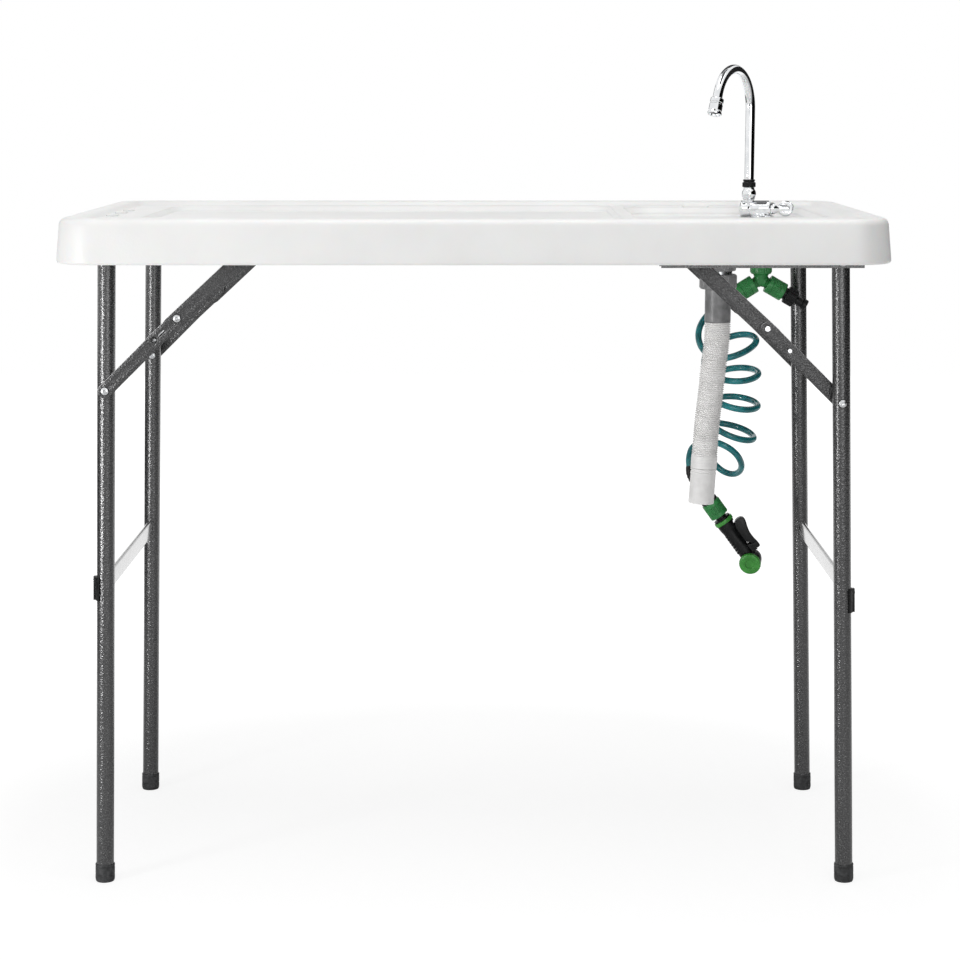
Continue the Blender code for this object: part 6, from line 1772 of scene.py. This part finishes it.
def make_floor():
    """A pale floor that shows white to the camera, and in reflections behind the table, and keeps a faint
    shadow near the feet."""
    mesh = sheet("floor", FLOOR_REACH, FLOOR_REACH, FLOOR_Z)
    floor = new_piece("floor", mesh)
    made = bpy.data.materials.new("pale_studio_floor")
    made.use_nodes = True
    tree = made.node_tree
    tree.nodes.clear()
    rays = add(tree, "ShaderNodeLightPath").outputs
    place = add(tree, "ShaderNodeTexCoord").outputs["Object"]
    far = add(tree, "ShaderNodeVectorMath", links={0: place}, operation="LENGTH").outputs["Value"]
    back = add(tree, "ShaderNodeSeparateXYZ", links={"Vector": place}).outputs["Y"]
    seen = calc(tree, "MULTIPLY", rays["Is Camera Ray"], spread(tree, far, 0.70, 1.4, 0.72, 1.0))
    mirrored = calc(tree, "MULTIPLY", rays["Is Glossy Ray"], spread(tree, back, 0.3, 1.2))
    share = calc(tree, "MAXIMUM", seen, mirrored)
    paper = add(tree, "ShaderNodeBsdfDiffuse", {"Color": linear("f2f2f2")}).outputs[0]
    white = add(tree, "ShaderNodeEmission", {"Color": linear("ffffff"), "Strength": 1.15}).outputs[0]
    both = add(tree, "ShaderNodeMixShader", links={0: share, 1: paper, 2: white})
    add(tree, "ShaderNodeOutputMaterial", links={"Surface": both.outputs[0]})
    mesh.materials.append(made)


def make_card(name, at, toward, width, height, colour):
    """A black or grey card out of the picture that only gloss sees, as photographers use to draw the edges
    of chrome."""
    mesh = sheet(name, width / 2, height / 2)
    mesh.transform(facing(at, Vector(toward) - Vector(at)))
    card = new_piece(name, mesh)
    made, tree, shader = new_material(name + "_paper", 1.0)
    shader.inputs["Specular IOR Level"].default_value = 0.0
    patch_colours(tree, shader, 300.0, (colour, colour))
    mesh.materials.append(made)
    card.visible_camera = False
    card.visible_diffuse = False
    card.visible_shadow = False
    card.visible_transmission = False


def make_light(name, at, toward, width, height, watts, spread_degrees=180.0):
    lamp = bpy.data.lights.new(name, "AREA")
    lamp.shape = "RECTANGLE"
    lamp.size = width
    lamp.size_y = height
    lamp.energy = watts
    lamp.spread = math.radians(spread_degrees)
    light = bpy.data.objects.new(name, lamp)
    bpy.context.scene.collection.objects.link(light)
    light.matrix_world = facing(at, Vector(at) - Vector(toward))


def make_world():
    """White where the camera, metal or glass sees it, and a plain soft light for everything else."""
    world = bpy.data.worlds.new("studio")
    bpy.context.scene.world = world
    world.use_nodes = True
    tree = world.node_tree
    tree.nodes.clear()
    rays = add(tree, "ShaderNodeLightPath").outputs
    seen = calc(tree, "MAXIMUM", rays["Is Camera Ray"], rays["Is Glossy Ray"])
    shown = calc(tree, "MAXIMUM", seen, rays["Is Transmission Ray"])
    strength = spread(tree, shown, 0.0, 1.0, SOFT_LIGHT, 1.0)
    light = add(tree, "ShaderNodeBackground", {"Color": linear("ffffff")}, {"Strength": strength})
    add(tree, "ShaderNodeOutputWorld", links={"Surface": light.outputs[0]})


# Cards and lights: place, the point faced, width and height, then a card's colour or a light's watts, spread
CARDS = {
    "card_right": ((1.9, -0.95, 1.4), (0.0, -0.95, 1.4), 2.7, 1.8, "060606"),
    "card_right_far": ((1.9, 1.7, 1.4), (0.0, 1.7, 1.4), 2.6, 1.8, "303030"),
    "card_left_low": ((-2.0, 1.3, 0.30), (0.0, 1.3, 0.30), 3.4, 0.6, "0a0a0a"),
    "card_left_far": ((-2.0, 2.8, 1.4), (0.0, 2.8, 1.4), 1.3, 2.8, "3a3a3a"),
    "card_over": ((0.45, 0.0, 2.9), (0.45, 0.0, 0.0), 1.0, 2.0, "8a8a8a"),
    "card_over_behind": ((0.45, 2.0, 2.5), (0.45, 0.19, 0.95), 1.8, 1.9, "5a5a5a"),
}
LIGHTS = {
    "left_softbox": ((-1.75, -1.45, 0.50), (-0.45, -0.30, 0.50), 0.3, 0.75, 4.0, 80.0),
    "front_softbox": ((0.75, -2.70, 1.00), (0.0, 0.0, 0.70), 1.1, 1.3, 10.5),
    "top_softbox": ((0.2, -0.4, 3.4), (0.2, 0.0, 0.0), 2.0, 2.0, 44.0),
}

make_floor()
for stage_name, values in CARDS.items():
    make_card(stage_name, *values)
for stage_name, values in LIGHTS.items():
    make_light(stage_name, *values)
make_world()
bpy.context.scene.view_settings.view_transform = "Standard"
